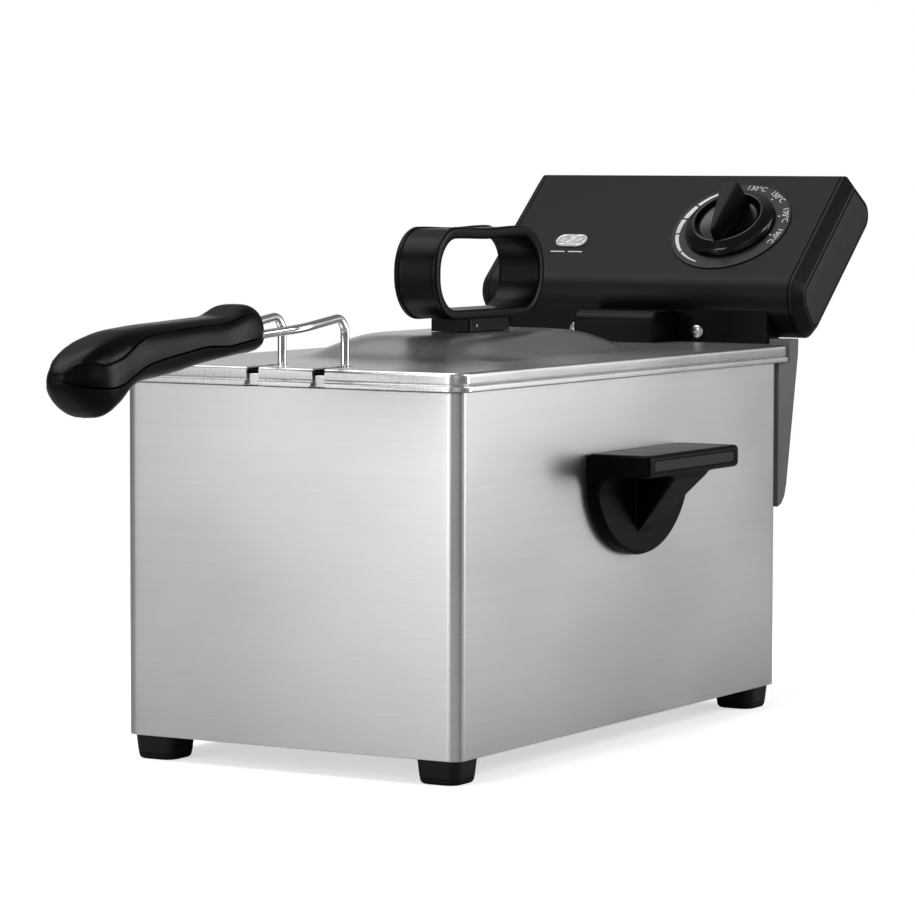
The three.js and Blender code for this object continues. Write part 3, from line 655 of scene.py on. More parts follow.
for sx, side in ((-1, "left"), (1, "right")):
    for cy, end in ((13.2, "front"), (D - 13.2, "rear")):
        cx = sx * 76.5
        sq = lambda a, r, z: [(u, v, z) for u, v in rr(cx - a / 2, cx + a / 2, cy - a / 2, cy + a / 2, r, 6)]
        prof = [(20.9, -8.6), (21.0, -8.45), (21.25, -7.4), (22.3, -1.2), (22.5, -0.2), (22.4, 0.2)]
        make(f"foot_{end}_{side}_moulding", loft([sq(a, 5.2, z) for a, z in [(20.2, -8.7)] + prof]), FOOT, "housing", [f"foot_{end}_{side}"])
        pad = [(17.4, -11.5), (18.6, -11.38), (19.6, -11.0), (20.3, -10.3), (20.7, -9.5), (20.8, -8.9), (20.4, -8.75)]
        rings = [sq(a, min(5.2, a / 2 - 1), z) for a, z in pad]
        o = make(f"foot_{end}_{side}_rubber", loft(rings), RUBBER, "housing", [f"foot_pad_{end}_{side}"])


def side_handle():
    y0, y1, zt, zs, x0, xe = 118.5, 212.5, 131.0, 120.3, 90.3, 123.5
    ym, hw = (y0 + y1) / 2, (y1 - y0) / 2

    def smooth(a, b, t):
        t = max(0, min(1, (t - a) / (b - a)))
        return t * t * (3 - 2 * t)

    def under(x, y):
        # flat shelf, and a web whose underside slopes from the plate out to the shelf's edge
        hw_ = 7.6 + (17.2 - 7.6) * max(0.0, min(1.0, (x - 97.0) / 24.5))
        k = 1 - smooth(hw_ - 1.2, hw_ + 4.2, abs(y - ym))
        zw = min(zs, 92.0 + (x - 97.0) * 1.10)
        knee = max(0.0, 99.5 - x)
        zw += 0.10 * knee * knee if x > 97.0 else 0.0
        r = max(0.0, 9.0 - (x - 96.3))
        flat_ = zs - (9.0 - math.sqrt(max(0.0, 9.0 * 9.0 - r * r)))
        return flat_ + (min(zw, flat_) - flat_) * k

    def profile(y):
        q = min(1.0, abs(y - ym) / hw)
        zb = 119 - 39 * math.sqrt(max(0.0, 1 - q * q))
        pts = []
        # back of the plate, up to down
        for t in (0, .25, .5, .75, 1):
            pts.append((x0, zt - 0.8 - (zt - 0.8 - (zb + 1.0)) * t))
        pts += [(x0 + 0.3, zb + 0.3), (x0 + 1.0, zb), (x0 + 4.2, zb + 0.05), (x0 + 5.4, zb + 0.5), (x0 + 6.0, zb + 1.7)]
        start = min(zb + 2.5, zs - 1.0)
        top = max(start + 0.15, min(under(x0 + 6.0, y), zs - 0.3))
        n1 = 10
        for i in range(n1 + 1):
            pts.append((x0 + 6.0, start + (top - start) * i / n1))
        n2 = 26
        for i in range(1, n2 + 1):
            t = i / n2
            x = x0 + 6.0 + (xe - 2.8 - x0 - 6.0) * (t * t * 0.35 + t * 0.65)
            pts.append((x, max(under(x, y), min(zb + 1.0, zs))))
        # outer edge of the shelf
        for i in range(6):
            g = math.radians(-90 + 90 * i / 5)
            pts.append((xe - 2.6 + 2.6 * math.cos(g), zs + 2.6 + 2.6 * math.sin(g)))
        for i in range(6):
            g = math.radians(90 * i / 5)
            pts.append((xe - 2.2 + 2.2 * math.cos(g), zt - 2.2 + 2.2 * math.sin(g)))
        for t in (0.2, 0.4, 0.6, 0.8, 0.97):
            pts.append((xe - 2.2 + (x0 + 0.8 - xe + 2.2) * t, zt))
        return pts

    def offset(pts, d):
        out, n = [], len(pts)
        for i in range(n):
            a, b, c = Vector(pts[i - 1]), Vector(pts[i]), Vector(pts[(i + 1) % n])
            e1, e2 = (b - a), (c - b)
            if e1.length < 1e-6 or e2.length < 1e-6:
                m = Vector((0, 0))
            else:
                e1.normalize(), e2.normalize()
                n1, n2 = Vector((-e1.y, e1.x)), Vector((-e2.y, e2.x))
                m = (n1 + n2)
                m = m.normalized() if m.length > 1e-6 else n1
                m = m / max(0.75, m.dot(n1))
            out.append((b.x + m.x * d, b.y + m.y * d))
        return out

    e = 2.0
    stations = []
    for j in range(6):
        t = math.radians(90 * j / 5)
        stations.append((y0 + e * (1 - math.cos(t)), e * (1 - math.sin(t))))
    inner = [y0 + 3.2, y0 + 4.6, y0 + 6.5, y0 + 9, y0 + 12, y0 + 15, y0 + 18, y0 + 21, y0 + 24]
    inner += [ym - 19.5 + i * 0.65 for i in range(30)]
    full = [(y, 0.0) for y in inner]
    st = stations + full
    st = st + [(2 * ym - y, d) for y, d in reversed(st)]
    rings = []
    for y, d in st:
        ye = min(max(y, y0 + 0.6), y1 - 0.6)
        pts = profile(ye)
        if d > 1e-6:
            pts = offset(pts, d)
            pts = [(max(px, x0), pz) for px, pz in pts]
        rings.append([(px, y, pz) for px, pz in pts])
    shape = loft(rings)
    zc, hz = 125.65, 3.0
    groove = prism(lambda d: rr(y0 + 4.8 + d, y1 - 4.8 - d, zc - hz + d, zc + hz - d, hz - d, 8), xe - 0.9, xe + 3, 0, 0, YZ)
    trim = prism(lambda d: rr(y0 + 5.3 + d, y1 - 5.3 - d, zc - hz + 0.5 + d, zc + hz - 0.5 - d, hz - 0.5 - d, 8), xe - 0.88, xe - 0.12, 0, 0.3, YZ)
    for sx, side in ((1, "right"), (-1, "left")):
        f = (lambda s: s) if sx > 0 else mirror
        o = make(f"side_handle_{side}_moulding", f(shape), SHELF, "housing", [f"side_handle_{side}"], angle=40)
        carve(o, f(groove))
        resharp(o, 40)
        make(f"side_handle_{side}_inset", f(trim), TRIM, "housing", [f"side_handle_trim_{side}"])


side_handle()
refine("rear_bracket", "rear_bracket_moulding", GREY, "housing", 0.5, 3)


def screw(name, body, node, centre, axis, r, h, shank=None):
    """Pan head with a cross recess; axis points out of the head."""
    ez = Vector(axis).normalized()
    ref = Vector((0, 0, 1)) if abs(ez.z) < 0.9 else Vector((1, 0, 0))
    ex = ref.cross(ez).normalized()
    ey = ez.cross(ex)
    prof = [(0, h), (r * 0.25, h)]
    prof += [(r * math.sin(math.radians(a)) * 1.0, h * 0.35 + h * 0.65 * math.cos(math.radians(a))) for a in (25, 40, 55, 70, 82, 90)]
    prof += [(r, h * 0.12), (r * 0.97, 0.0)]
    if shank:
        rs, ln = shank
        prof += [(rs, 0.0)]
        k = 0
        z = -0.4
        while z > -ln + 0.8:
            prof += [(rs, z), (rs * 0.82, z - 0.35)]
            z -= 0.7
        prof += [(rs * 0.8, -ln + 0.3), (rs * 0.4, -ln), (0, -ln)]
    else:
        prof += [(0, 0.0)]
    o = make(name, lathe(prof, centre, ex, ey, ez, 28), SCREW, body, [node])
    c = Vector(centre)
    arms = []
    for u, w in ((ex, ey), (ey, ex)):
        a, b = r * 0.52, r * 0.13
        ring = lambda z, k: [tuple(c + u * (i * a * k) + w * (j * b * k) + ez * z) for i, j in ((-1, -1), (1, -1), (1, 1), (-1, 1))]
        arms.append(loft([ring(h * 0.35, 0.75), ring(h * 1.4, 1.15)]))
    carve(o, *arms)
    return resharp(o, 35)


for x, s in ((-66, "left"), (66, "right")):
    screw(f"bracket_screw_{s}_head", "housing", f"bracket_screw_{s}", (x, 338.7, 112.6), (0, 1, 0), 3.6, 1.9, (1.8, 10))

# ------------------------------------------------------------------ oil pan
def oil_pan():
    def ring(x0, x1, y0, y1, r, z):
        return [(u, v, z) for u, v in rrm(x0, x1, y0, y1, r, 9, 5)]

    px, y0, y1 = 82.0, 8.0, 321.0
    up_ = lambda d, z, r=22: ring(-px - d, px + d, y0 - d, y1 + d, r + d, z)
    lo_ = lambda d, z, r=21: ring(-60 - d, 60 + d, 24 - d, y1 - 0.02 + d, r + d, z)
    mid = lambda t, z, d=0.0: ring(-60 - 22 * t - d, 60 + 22 * t + d, 24 - 16 * t - d, y1 + d, 21 + t + d, z)
    rings = []
    # outside, from the floor's middle up
    rings += [ring(-30, 30, 60, 290, 14, 27.1), lo_(-4, 27.1, 21), lo_(-1.4, 27.5), lo_(-0.2, 28.8), lo_(0.9, 31)]
    rings += [lo_(0.9, 50), lo_(1.2, 51.9), mid(0.12, 53.0), mid(0.5, 53.1), mid(0.93, 53.2), up_(0.4, 53.8), up_(0.9, 55.5)]
    rings += [up_(0.9, 100), up_(0.9, 150), up_(0.9, 170.3), up_(1.0, 171.2), up_(1.15, 171.9), up_(0.9, 172.6), up_(0.4, 172.7), up_(0, 172.2)]
    # inside, down to the floor
    rings += [up_(0, 170), up_(0, 150), up_(0, 100), up_(0, 56), up_(-0.6, 54.5), mid(0.9, 54.05), mid(0.5, 54), mid(0.14, 53.9), lo_(0.4, 53.2), lo_(0, 51.5)]
    rings += [lo_(0, 50), lo_(0, 31), lo_(-0.8, 28.9), lo_(-2.6, 28.1), lo_(-5, 28), ring(-30, 30, 60, 290, 14, 28)]
    body = loft(rings)
    fl = lambda d, r, z: ring(-90 - d, 90 + d, -d, 325 + d, r + d, z)
    inn = lambda d, z: up_(0.5 + d, z)
    cr_ = RC
    flange = loft([inn(0, 165.4), fl(-1, cr_, 165.4), fl(0.1, cr_, 165.45), fl(0.4, cr_, 165.75), fl(0.4, cr_, 168.0), fl(0.4, cr_, 170.6), fl(0.2, cr_, 170.8), fl(-0.1, cr_, 170.8), fl(-0.3, cr_, 170.6), fl(-0.3, cr_, 168.0), fl(-0.4, cr_, 166.7), fl(-1.2, cr_, 166.3), inn(0.9, 166.3), inn(0.45, 166.8), inn(0.1, 167.4)], loop=True)
    o = make("oil_pan_pressing", merge(body), PAN, "pan", ["oil_pan"])
    carve(o, boxs(-26, 26, 300, 331, 167.2, 200))
    resharp(o, 40)
    fo_ = make("oil_pan_flange", flange, CASE, "pan")
    carve(fo_, boxs(-26, 26, 300, 331, 166.9, 200))
    resharp(fo_, 40)
    # level marks pressed in the front wall
    for i, (z, n) in enumerate(((92, "low"), (104, "high"))):
        path = [(-14, 8.3, z), (14, 8.3, z)]
        make(f"oil_mark_{n}", tube(path, 0.7, 10), PAN, "pan")


oil_pan()

# ------------------------------------------------------------------ lid
LT, LIPZ, STEPZ, HX, LY0, LY1, LIP = 174.0, 165.3, 167.9, 92.2, -2.2, 335.5, 1.2
DOME = 184.8


def lid():
    N, MM = 10, 7

    def ring(x, y0, y1, r, z):
        return [(u, v, z) for u, v in rrm(-x, x, y0, y1, max(r, 1.0), N, MM)]

    band = lambda d, z: ring(HX - d, LY0 + d, LY1 - d, 8 - d, z)
    dome_k = lambda t, d, z: ring(59.3 - 29.7 * t - d, 64.8 + 53.4 * t + d, 268.4 - 53.4 * t - d, 30 - 6 * t - d, z)
    # blend from the flat rim to the dome's base so that rings spread evenly
    def flat(t, z, d=0):
        return ring(HX - 3 + (59.3 - HX + 3) * t, LY0 + 3 + (64.8 - LY0 - 3) * t, LY1 - 3 + (268.4 - LY1 + 3) * t, 6 + 24 * t, z)

    s_curve = lambda t: (lambda q: q * q * q * (q * (6 * q - 15) + 10))(t) * 0.62 + t * t * (3 - 2 * t) * 0.38
    h = DOME - LT
    th = 0.8
    out = []
    # lower lip, hemmed edge
    out += [band(-LIP + 0.35, LIPZ + 0.02), band(-LIP, LIPZ + 0.35), band(-LIP, STEPZ - 0.65), band(-LIP + 0.18, STEPZ - 0.22), band(-LIP * 0.55, STEPZ)]
    out += [band(0.1, STEPZ + 0.12), band(0.32, STEPZ + 0.45), band(0.05, STEPZ + 0.95), band(0, STEPZ + 1.3), band(0, LT - 2.0)]
    for a in (20, 40, 60, 80):
        g = math.radians(a)
        out.append(band(1.6 * (1 - math.cos(g)), LT - 1.6 + 1.6 * math.sin(g)))
    out.append(band(1.9, LT))
    out += [flat(0, LT), flat(0.2, LT), flat(0.5, LT), flat(0.8, LT), flat(0.93, LT)]
    for i in range(0, 21):
        t = i / 20
        out.append(dome_k(t, 0, LT + h * s_curve(t)))
    out += [ring(26, 122, 211, 21, DOME), ring(18, 131, 202, 15, DOME), ring(8, 145, 188, 7, DOME)]
    inn = [ring(8, 145, 188, 7, DOME - th), ring(18, 131, 202, 15, DOME - th), ring(26, 122, 211, 21, DOME - th)]
    for i in range(20, -1, -1):
        t = i / 20
        inn.append(dome_k(t, 0.4, LT + h * s_curve(t) - th))
    inn += [flat(0.93, LT - th), flat(0.5, LT - th), flat(0, LT - th), band(1.9, LT - th), band(th, LT - 1.9), band(th, STEPZ + 1.2), band(th + 0.3, STEPZ + 0.4)]
    inn += [band(-LIP + th + 0.1, STEPZ - th), band(-LIP + th, STEPZ - th - 0.3), band(-LIP + th, LIPZ + 0.4), band(-LIP + th - 0.3, LIPZ + 0.02)]
    shape = loft(out + inn, loop=False, caps=(False, False))
    v, f = shape
    n = len(out[0])
    m = len(out + inn)
    # close the hem between the first and the last ring
    for i in range(n):
        j = (i + 1) % n
        f.append(((m - 1) * n + i, (m - 1) * n + j, j, i))
    # the two middle rings close the flat top: cap outer and inner
    k = len(out)
    f = [q for q in f if not (min(q) >= (k - 1) * n and max(q) < (k + 1) * n and min(q) < k * n and max(q) >= k * n)]
    f.append(tuple(range((k - 1) * n, k * n)))
    f.append(tuple(reversed(range(k * n, (k + 1) * n))))
    o = make("lid_pressing", (v, f), LID, "lid", ["lid_shell"], angle=40)
    cutters = []
    for sx in (-1, 1):
        c, hw = sx * 17.7, 3.3
        # a slot with rounded lower corners on the tab beside it
        zs = [160, LIPZ - 0.5, LIPZ + 0.25, LIPZ + 0.7, LIPZ + 1.3, LIPZ + 2.2, 190]
        xs = [1.7, 1.7, 0.95, 0.55, 0.2, 0, 0]
        rings = [[(c - hw - e, -20, z), (c + hw + e, -20, z), (c + hw + e, 25.2, z), (c - hw - e, 25.2, z)] for z, e in zip(zs, xs)]
        cutters.append(loft(rings))
    cutters.append(prism(lambda d: rr(-24.6 + d, 24.6 - d, 312.3 + d, 352, 3.0 - d, 6), 150, 200, 0, 0, XY))
    for y in (165.5 - 14, 165.5 + 14):
        cutters.append(rod((0, y, 180), (0, y, 190), 2.4, 20))
    carve(o, *cutters)
    resharp(o, 32)
    return o


lid()
LOOP = dict(y=165.5, z=213.7, l=107.0, h=44.6, x=12.0)


def lid_handle():
    y, z, l, h, X = LOOP["y"], LOOP["z"], LOOP["l"], LOOP["h"], LOOP["x"]
    N, MM = 14, 14
    outer = rrm(y - l / 2, y + l / 2, z - h / 2, z + h / 2, 21.2, N, MM)
    inner = rrm(y - l / 2 + 5.5, y + l / 2 - 5.5, z - h / 2 + 4.6, z + h / 2 - 5.6, 15.6, N, MM)

    def sec(px, t):
        r = []
        for (oy, oz), (iy, iz) in zip(outer, inner):
            # t = share of the wall, from the outer face; negative stands proud
            a = oy + (iy - oy) * t
            b = oz + (iz - oz) * t
            # dished top: the edges dip half way along
            q = (a - (y - 2)) / 30.0
            if oz > z + h / 2 - 4 and abs(q) < 1:
                dip = (math.cos(math.pi * q) + 1) / 2
                b -= 1.1 * dip * (abs(px) / X) ** 2 * (1 - t * 0.35)
            r.append((px, a, b))
        return r

    prof = [
        (0.0, 0.16), (5.0, 0.16), (8.6, 0.16), (9.1, 0.14), (9.35, 0.06), (9.6, 0.0), (10.2, -0.005), (11.0, 0.0), (11.5, 0.06), (11.86, 0.16), (12.0, 0.30),
        (12.0, 0.46), (12.0, 0.66), (11.85, 0.82), (11.5, 0.93), (10.9, 1.0), (9.6, 1.0), (6.0, 1.0), (3.0, 1.0)]
    full = prof + [(-px, t) for px, t in reversed(prof)][0:-1]
    rings = [sec(px, t) for px, t in full]
    # opening rows run round the loop; the section closes on itself
    shape = loft(rings, loop=True)
    make("lid_handle_band", shape, LOOPM, "lid", ["lid_handle_loop"], angle=50)
    foot = prism(lambda d: rr(-11 + d, 11 - d, 145.5 + d, 185.5 - d, 1.6 - d * 0.5, 5), 185.1, 191.3, 0.3, 0.0, XY)
    make("lid_handle_block", foot, LOOPM, "lid", ["lid_handle_foot"])
    boss = rod((10.6, 152.5, 188.0), (11.35, 152.5, 188.0), 1.0, 20, 0.8)
    make("lid_handle_pip", boss, SCREW, "lid")
    for yy, s in ((151.5, "front"), (179.5, "rear")):
        screw(f"lid_handle_screw_{s}_head", "lid", f"lid_handle_screw_{s}", (0, yy, 183.5), (0, 0, -1), 4.0, 1.7, (1.9, 10.0))


lid_handle()

# ------------------------------------------------------------------ basket
WX, WY = 17.0, 21.7


def wire_path(x):
    return bend_path([(x, WY, 62), (x, WY, 196.8), (x, -15, 192.6), (x * 0.5, -42, 190.0), (x * 0.5, -66, 187.2)], 7.5, 10, 8)


def basket():
    x, y0, y1, top, bot = 70.0, 24.4, 297.0, 158.0, 54.5
    n = 7

    def outline(z, d=0.0, m=0):
        k = 4 * (1 - (z - bot) / (top - bot)) + d
        return rrm(-x + k, x - k, y0 + k, y1 - k, 19 - min(3, k * 0.5), n, m)

    def resample(pts, count):
        P = [Vector(p) for p in pts] + [Vector(pts[0])]
        L = [0.0]
        for a, b in zip(P, P[1:]):
            L.append(L[-1] + (b - a).length)
        out, j = [], 0
        for i in range(count):
            s = L[-1] * i / count
            while L[j + 1] < s:
                j += 1
            t = (s - L[j]) / max(1e-9, L[j + 1] - L[j])
            out.append(P[j].lerp(P[j + 1], t))
        return out

    shapes = []
    rim_r, w = 1.6, 0.62
    path = [(p[0], p[1], top - rim_r) for p in outline(top, rim_r)]
    rim = tube(path, rim_r, 10, closed=True)
    path = [(p[0], p[1], bot + 1.3) for p in outline(bot, 2.6)]
    low = tube(path, 1.2, 8, closed=True)
    make("basket_rim_wires", merge(rim, low), CHROME, "basket")
    # level wires
    for i in range(1, 12):
        z = bot + 1.3 + (top - bot - 4) * i / 12
        path = [(p[0], p[1], z) for p in outline(z, 0.9 + (0.55 if i % 2 else -0.1))]
        shapes.append(tube(path, w, 6, closed=True))
    # upright wires, each turned a little way in under the floor
    count = 96
    zs = [top - 1.5, top - 28, bot + 52, bot + 28, bot + 5]
    cols = [resample(outline(z, 1.5, 0), count) for z in zs]
    for i in range(count):
        path = [(cols[k][i].x, cols[k][i].y, zs[k]) for k in range(len(zs))]
        bx, by = cols[-1][i].x, cols[-1][i].y
        cx, cy = 0.0, min(max(by, 90.0), 230.0)
        d = Vector((cx - bx, cy - by)).normalized()
        path += [(bx + d.x * 0.8, by + d.y * 0.8, bot + 2.4), (bx + d.x * 3.2, by + d.y * 3.2, bot + 1.5)]
        shapes.append(tube(path, w, 6))
    xs = [-60 + 120 * i / 14 for i in range(15)]
    for i, px in enumerate(xs):
        ye = 29.5 + (8 if abs(px) > 55 else (2.5 if abs(px) > 46 else 0))
        shapes.append(tube([(px, ye, bot + 1.4), (px, 160, bot + 0.7), (px, 321.4 - ye, bot + 1.4)], w, 6))
    ys = [36 + 249 * i / 28 for i in range(29)]
    for py in ys:
        k = 8 if py < 38 or py > 283 else 0
        shapes.append(tube([(-65 + k, py, bot + 2.3), (0, py, bot + 1.9), (65 - k, py, bot + 2.3)], w, 6))
    make("basket_mesh", merge(*shapes), CHROME, "basket", ["fry_basket"])
    for sx, s in ((-1, "left"), (1, "right")):
        make(f"handle_wire_{s}_rod", tube(wire_path(sx * WX), 2.0, 20), CHROME, "basket", [f"basket_wire_{s}"])
    # cross wires that brace the two handle wires below the lid
    brace = [tube([(-WX - 1, WY + 0.2, z), (WX + 1, WY + 0.2, z)], 1.4, 12) for z in (70, 150)]
    make("handle_wire_braces", merge(*brace), CHROME, "basket")


basket()

# Grip stations: y, top, bottom, half width, parting height
GRIP = [
    (-34.0, 193.6, 188.6, 3.4, 191.0), (-34.4, 196.0, 187.2, 6.6, 190.8), (-35.8, 199.4, 185.2, 9.8, 190.4), (-38.8, 202.7, 183.2, 12.3, 190.0),
    (-44, 204.2, 182.2, 13.4, 189.2), (-51.5, 203.2, 182.0, 13.6, 188.2), (-59, 201.0, 181.2, 13.4, 187.4), (-68, 199.4, 180.4, 13.1, 186.4),
    (-84, 198.6, 178.4, 12.9, 186.8), (-100, 198.0, 176.0, 12.9, 185.0), (-115, 197.5, 174.4, 13.1, 183.2), (-129, 196.6, 173.0, 13.4, 181.0),
    (-140, 195.7, 169.8, 13.8, 177.2), (-149, 194.0, 163.0, 14.3, 173.8), (-157, 191.9, 159.4, 14.3, 172.4), (-164, 189.2, 161.6, 13.0, 172.6),
    (-170, 186.0, 165.6, 10.8, 173.2), (-174.6, 182.6, 169.4, 8.0, 174.2), (-177.4, 179.8, 172.2, 5.2, 175.2), (-178.5, 178.0, 174.4, 2.5, 176.0)]


def cr(vals, t):
    n = len(vals)
    i = min(int(t), n - 2)
    u = t - i
    p0, p1, p2, p3 = vals[max(i - 1, 0)], vals[i], vals[i + 1], vals[min(i + 2, n - 1)]
    return tuple(0.5 * (2 * b + (c - a) * u + (2 * a - 5 * b + 4 * c - d) * u * u + (3 * b - a - 3 * c + d) * u ** 3) for a, b, c, d in zip(p0, p1, p2, p3))


def grip():
    S = []
    steps = 5
    for i in range((len(GRIP) - 1) * steps + 1):
        S.append(cr(GRIP, i / steps))

    def panel(y):
        """How strongly the raised top panel shows at y, from the root to the nose."""
        a = max(0.0, min(1.0, (-39 - y) / 5))
        b = max(0.0, min(1.0, (y + 176.0) / 4))
        k = a * b
        return k * k * (3 - 2 * k)

    def upper(y, z1, zp, hw):
        hgt = z1 - zp
        k = panel(y)
        # the palm end is wider, with a flat bevel between the side and the panel's edge
        wide = max(0.0, min(1.0, (-120 - y) / 30))
        wide = wide * wide * (3 - 2 * wide)
        nose = max(0.0, min(1.0, (-162 - y) / 13))
        pts = []

        def side(a):
            c, s_ = math.cos(a), math.sin(a)
            x, z = hw * abs(c) ** 0.62, abs(s_) ** 0.85 * hgt
            return x, z

        ge = math.radians(45 - 18 * wide + 30 * nose)
        xg, zg = side(ge)
        xb, zb = side(math.radians(9))
        for i in range(7):
            a = ge * i / 7
            x, z = side(a)
            # pull the upper side towards the straight line from its low point to the groove
            if a > math.radians(9):
                t = (a - math.radians(9)) / (ge - math.radians(9))
                lx, lz = xb + (xg - xb) * t, zb + (zg - zb) * t
                q = 0.85 * wide * k
                x, z = x + (lx - x) * q, z + (lz - z) * q
            pts.append((x, zp + z))
        nrm = Vector((xg / max(hw, 0.1), 0.9)).normalized()
        gd = 0.8 * k
        for off, dd in ((-0.012, 0.0), (0.0, gd * 0.7), (0.012, gd), (0.03, gd * 0.5), (0.045, -0.12 * k)):
            x, z = side(ge + off * 1.7)
            pts.append((x - nrm.x * dd, zp + z - nrm.y * dd))
        for i in range(1, 7):
            a = ge + 0.085 + (math.pi / 2 - ge - 0.085) * i / 6
            x, z = side(a)
            # the thumb rest: a shallow dish in front of the hump
            dish = math.exp(-((y + 58) / 8.5) ** 2) * 1.2 * k * (1 - (x / max(hw, 1)) ** 2 * 1.6)
            ridge = math.exp(-((y + 49.0) / 2.0) ** 2) * 0.3 * k
            pts.append((x if i < 6 else 0.0, zp + z - max(0.0, dish) + ridge))
        left = [(-x, z) for x, z in reversed(pts[:-1])]
        return pts + left

    def lower(y, z0, zp, hw):
        pts = []
        n = 14
        for i in range(n + 1):
            a = math.pi * i / n
            c, s = math.cos(a), math.sin(a)
            pts.append((hw * math.copysign(abs(c) ** 0.72, c), zp - abs(s) ** 0.8 * (zp - z0)))
        return pts

    ru, rl = [], []
    for y, zt, zb, hw, zp in S:
        e = 0.14
        u = upper(y, zt, zp + e, hw)
        # close the underside of the upper shell with a slightly inset edge so that the parting line reads as a fine groove
        ins = min(0.55, hw * 0.12)
        u2_ = [(hw - ins, zp + e - 0.02)] + [(hw, zp + e + min(0.35, (zt - zp) * 0.1))] + u[1:-1] + [(-hw, zp + e + min(0.35, (zt - zp) * 0.1))] + [(-hw + ins, zp + e - 0.02)]
        ru.append([(x, y, z) for x, z in u2_])
        l = lower(y, zb, zp - e, hw)
        l2 = [(hw - ins, zp - e + 0.02)] + [(hw, zp - e - min(0.35, (zp - zb) * 0.1))] + l[1:-1] + [(-hw, zp - e - min(0.35, (zp - zb) * 0.1))] + [(-hw + ins, zp - e + 0.02)]
        rl.append([(x, y, z) for x, z in l2])
    a = make("grip_upper_shell", loft(ru), GRIPM, "basket", ["grip_upper"], angle=48)
    b = make("grip_lower_shell", loft(rl), GRIPM, "basket", ["grip_lower"], angle=48)
    carve(b, rod((0, -110, 150), (0, -110, 176), 3.4, 24))
    resharp(b, 48)
    screw("grip_screw_head", "basket", "grip_screw", (0, -110, 175.7), (0, 0, -1), 3.0, 1.5, (1.5, 12))


grip()

# ------------------------------------------------------------------ control head
TILT = math.radians(49.4)
CT, ST = math.cos(TILT), math.sin(TILT)
PY, PZ, HT = 403.5, 260.7, 36.5
at = lambda s, t: (PY - s * ST + t * CT, PZ - s * CT - t * ST)
at3 = lambda x, s, t: (x, *at(s, t))
HX_ = 88.0
SEC = [(0, 0), (-12.5, HT), (95, HT), (93.5, 0)]
SECR = [3, 13, 12, 14.5]
SECN = [6, 12, 12, 14]


def head_ring(d, x):
    out = []
    for s, t in fillet(SEC, SECR, SECN, d):
        y, z = at(s, t)
        out.append((x, y, z))
    return out


def sec_pts(d):
    return fillet(SEC, SECR, SECN, d)


DX, DS = 39.4, 42.1
LX, LS = -50.6, 55.0


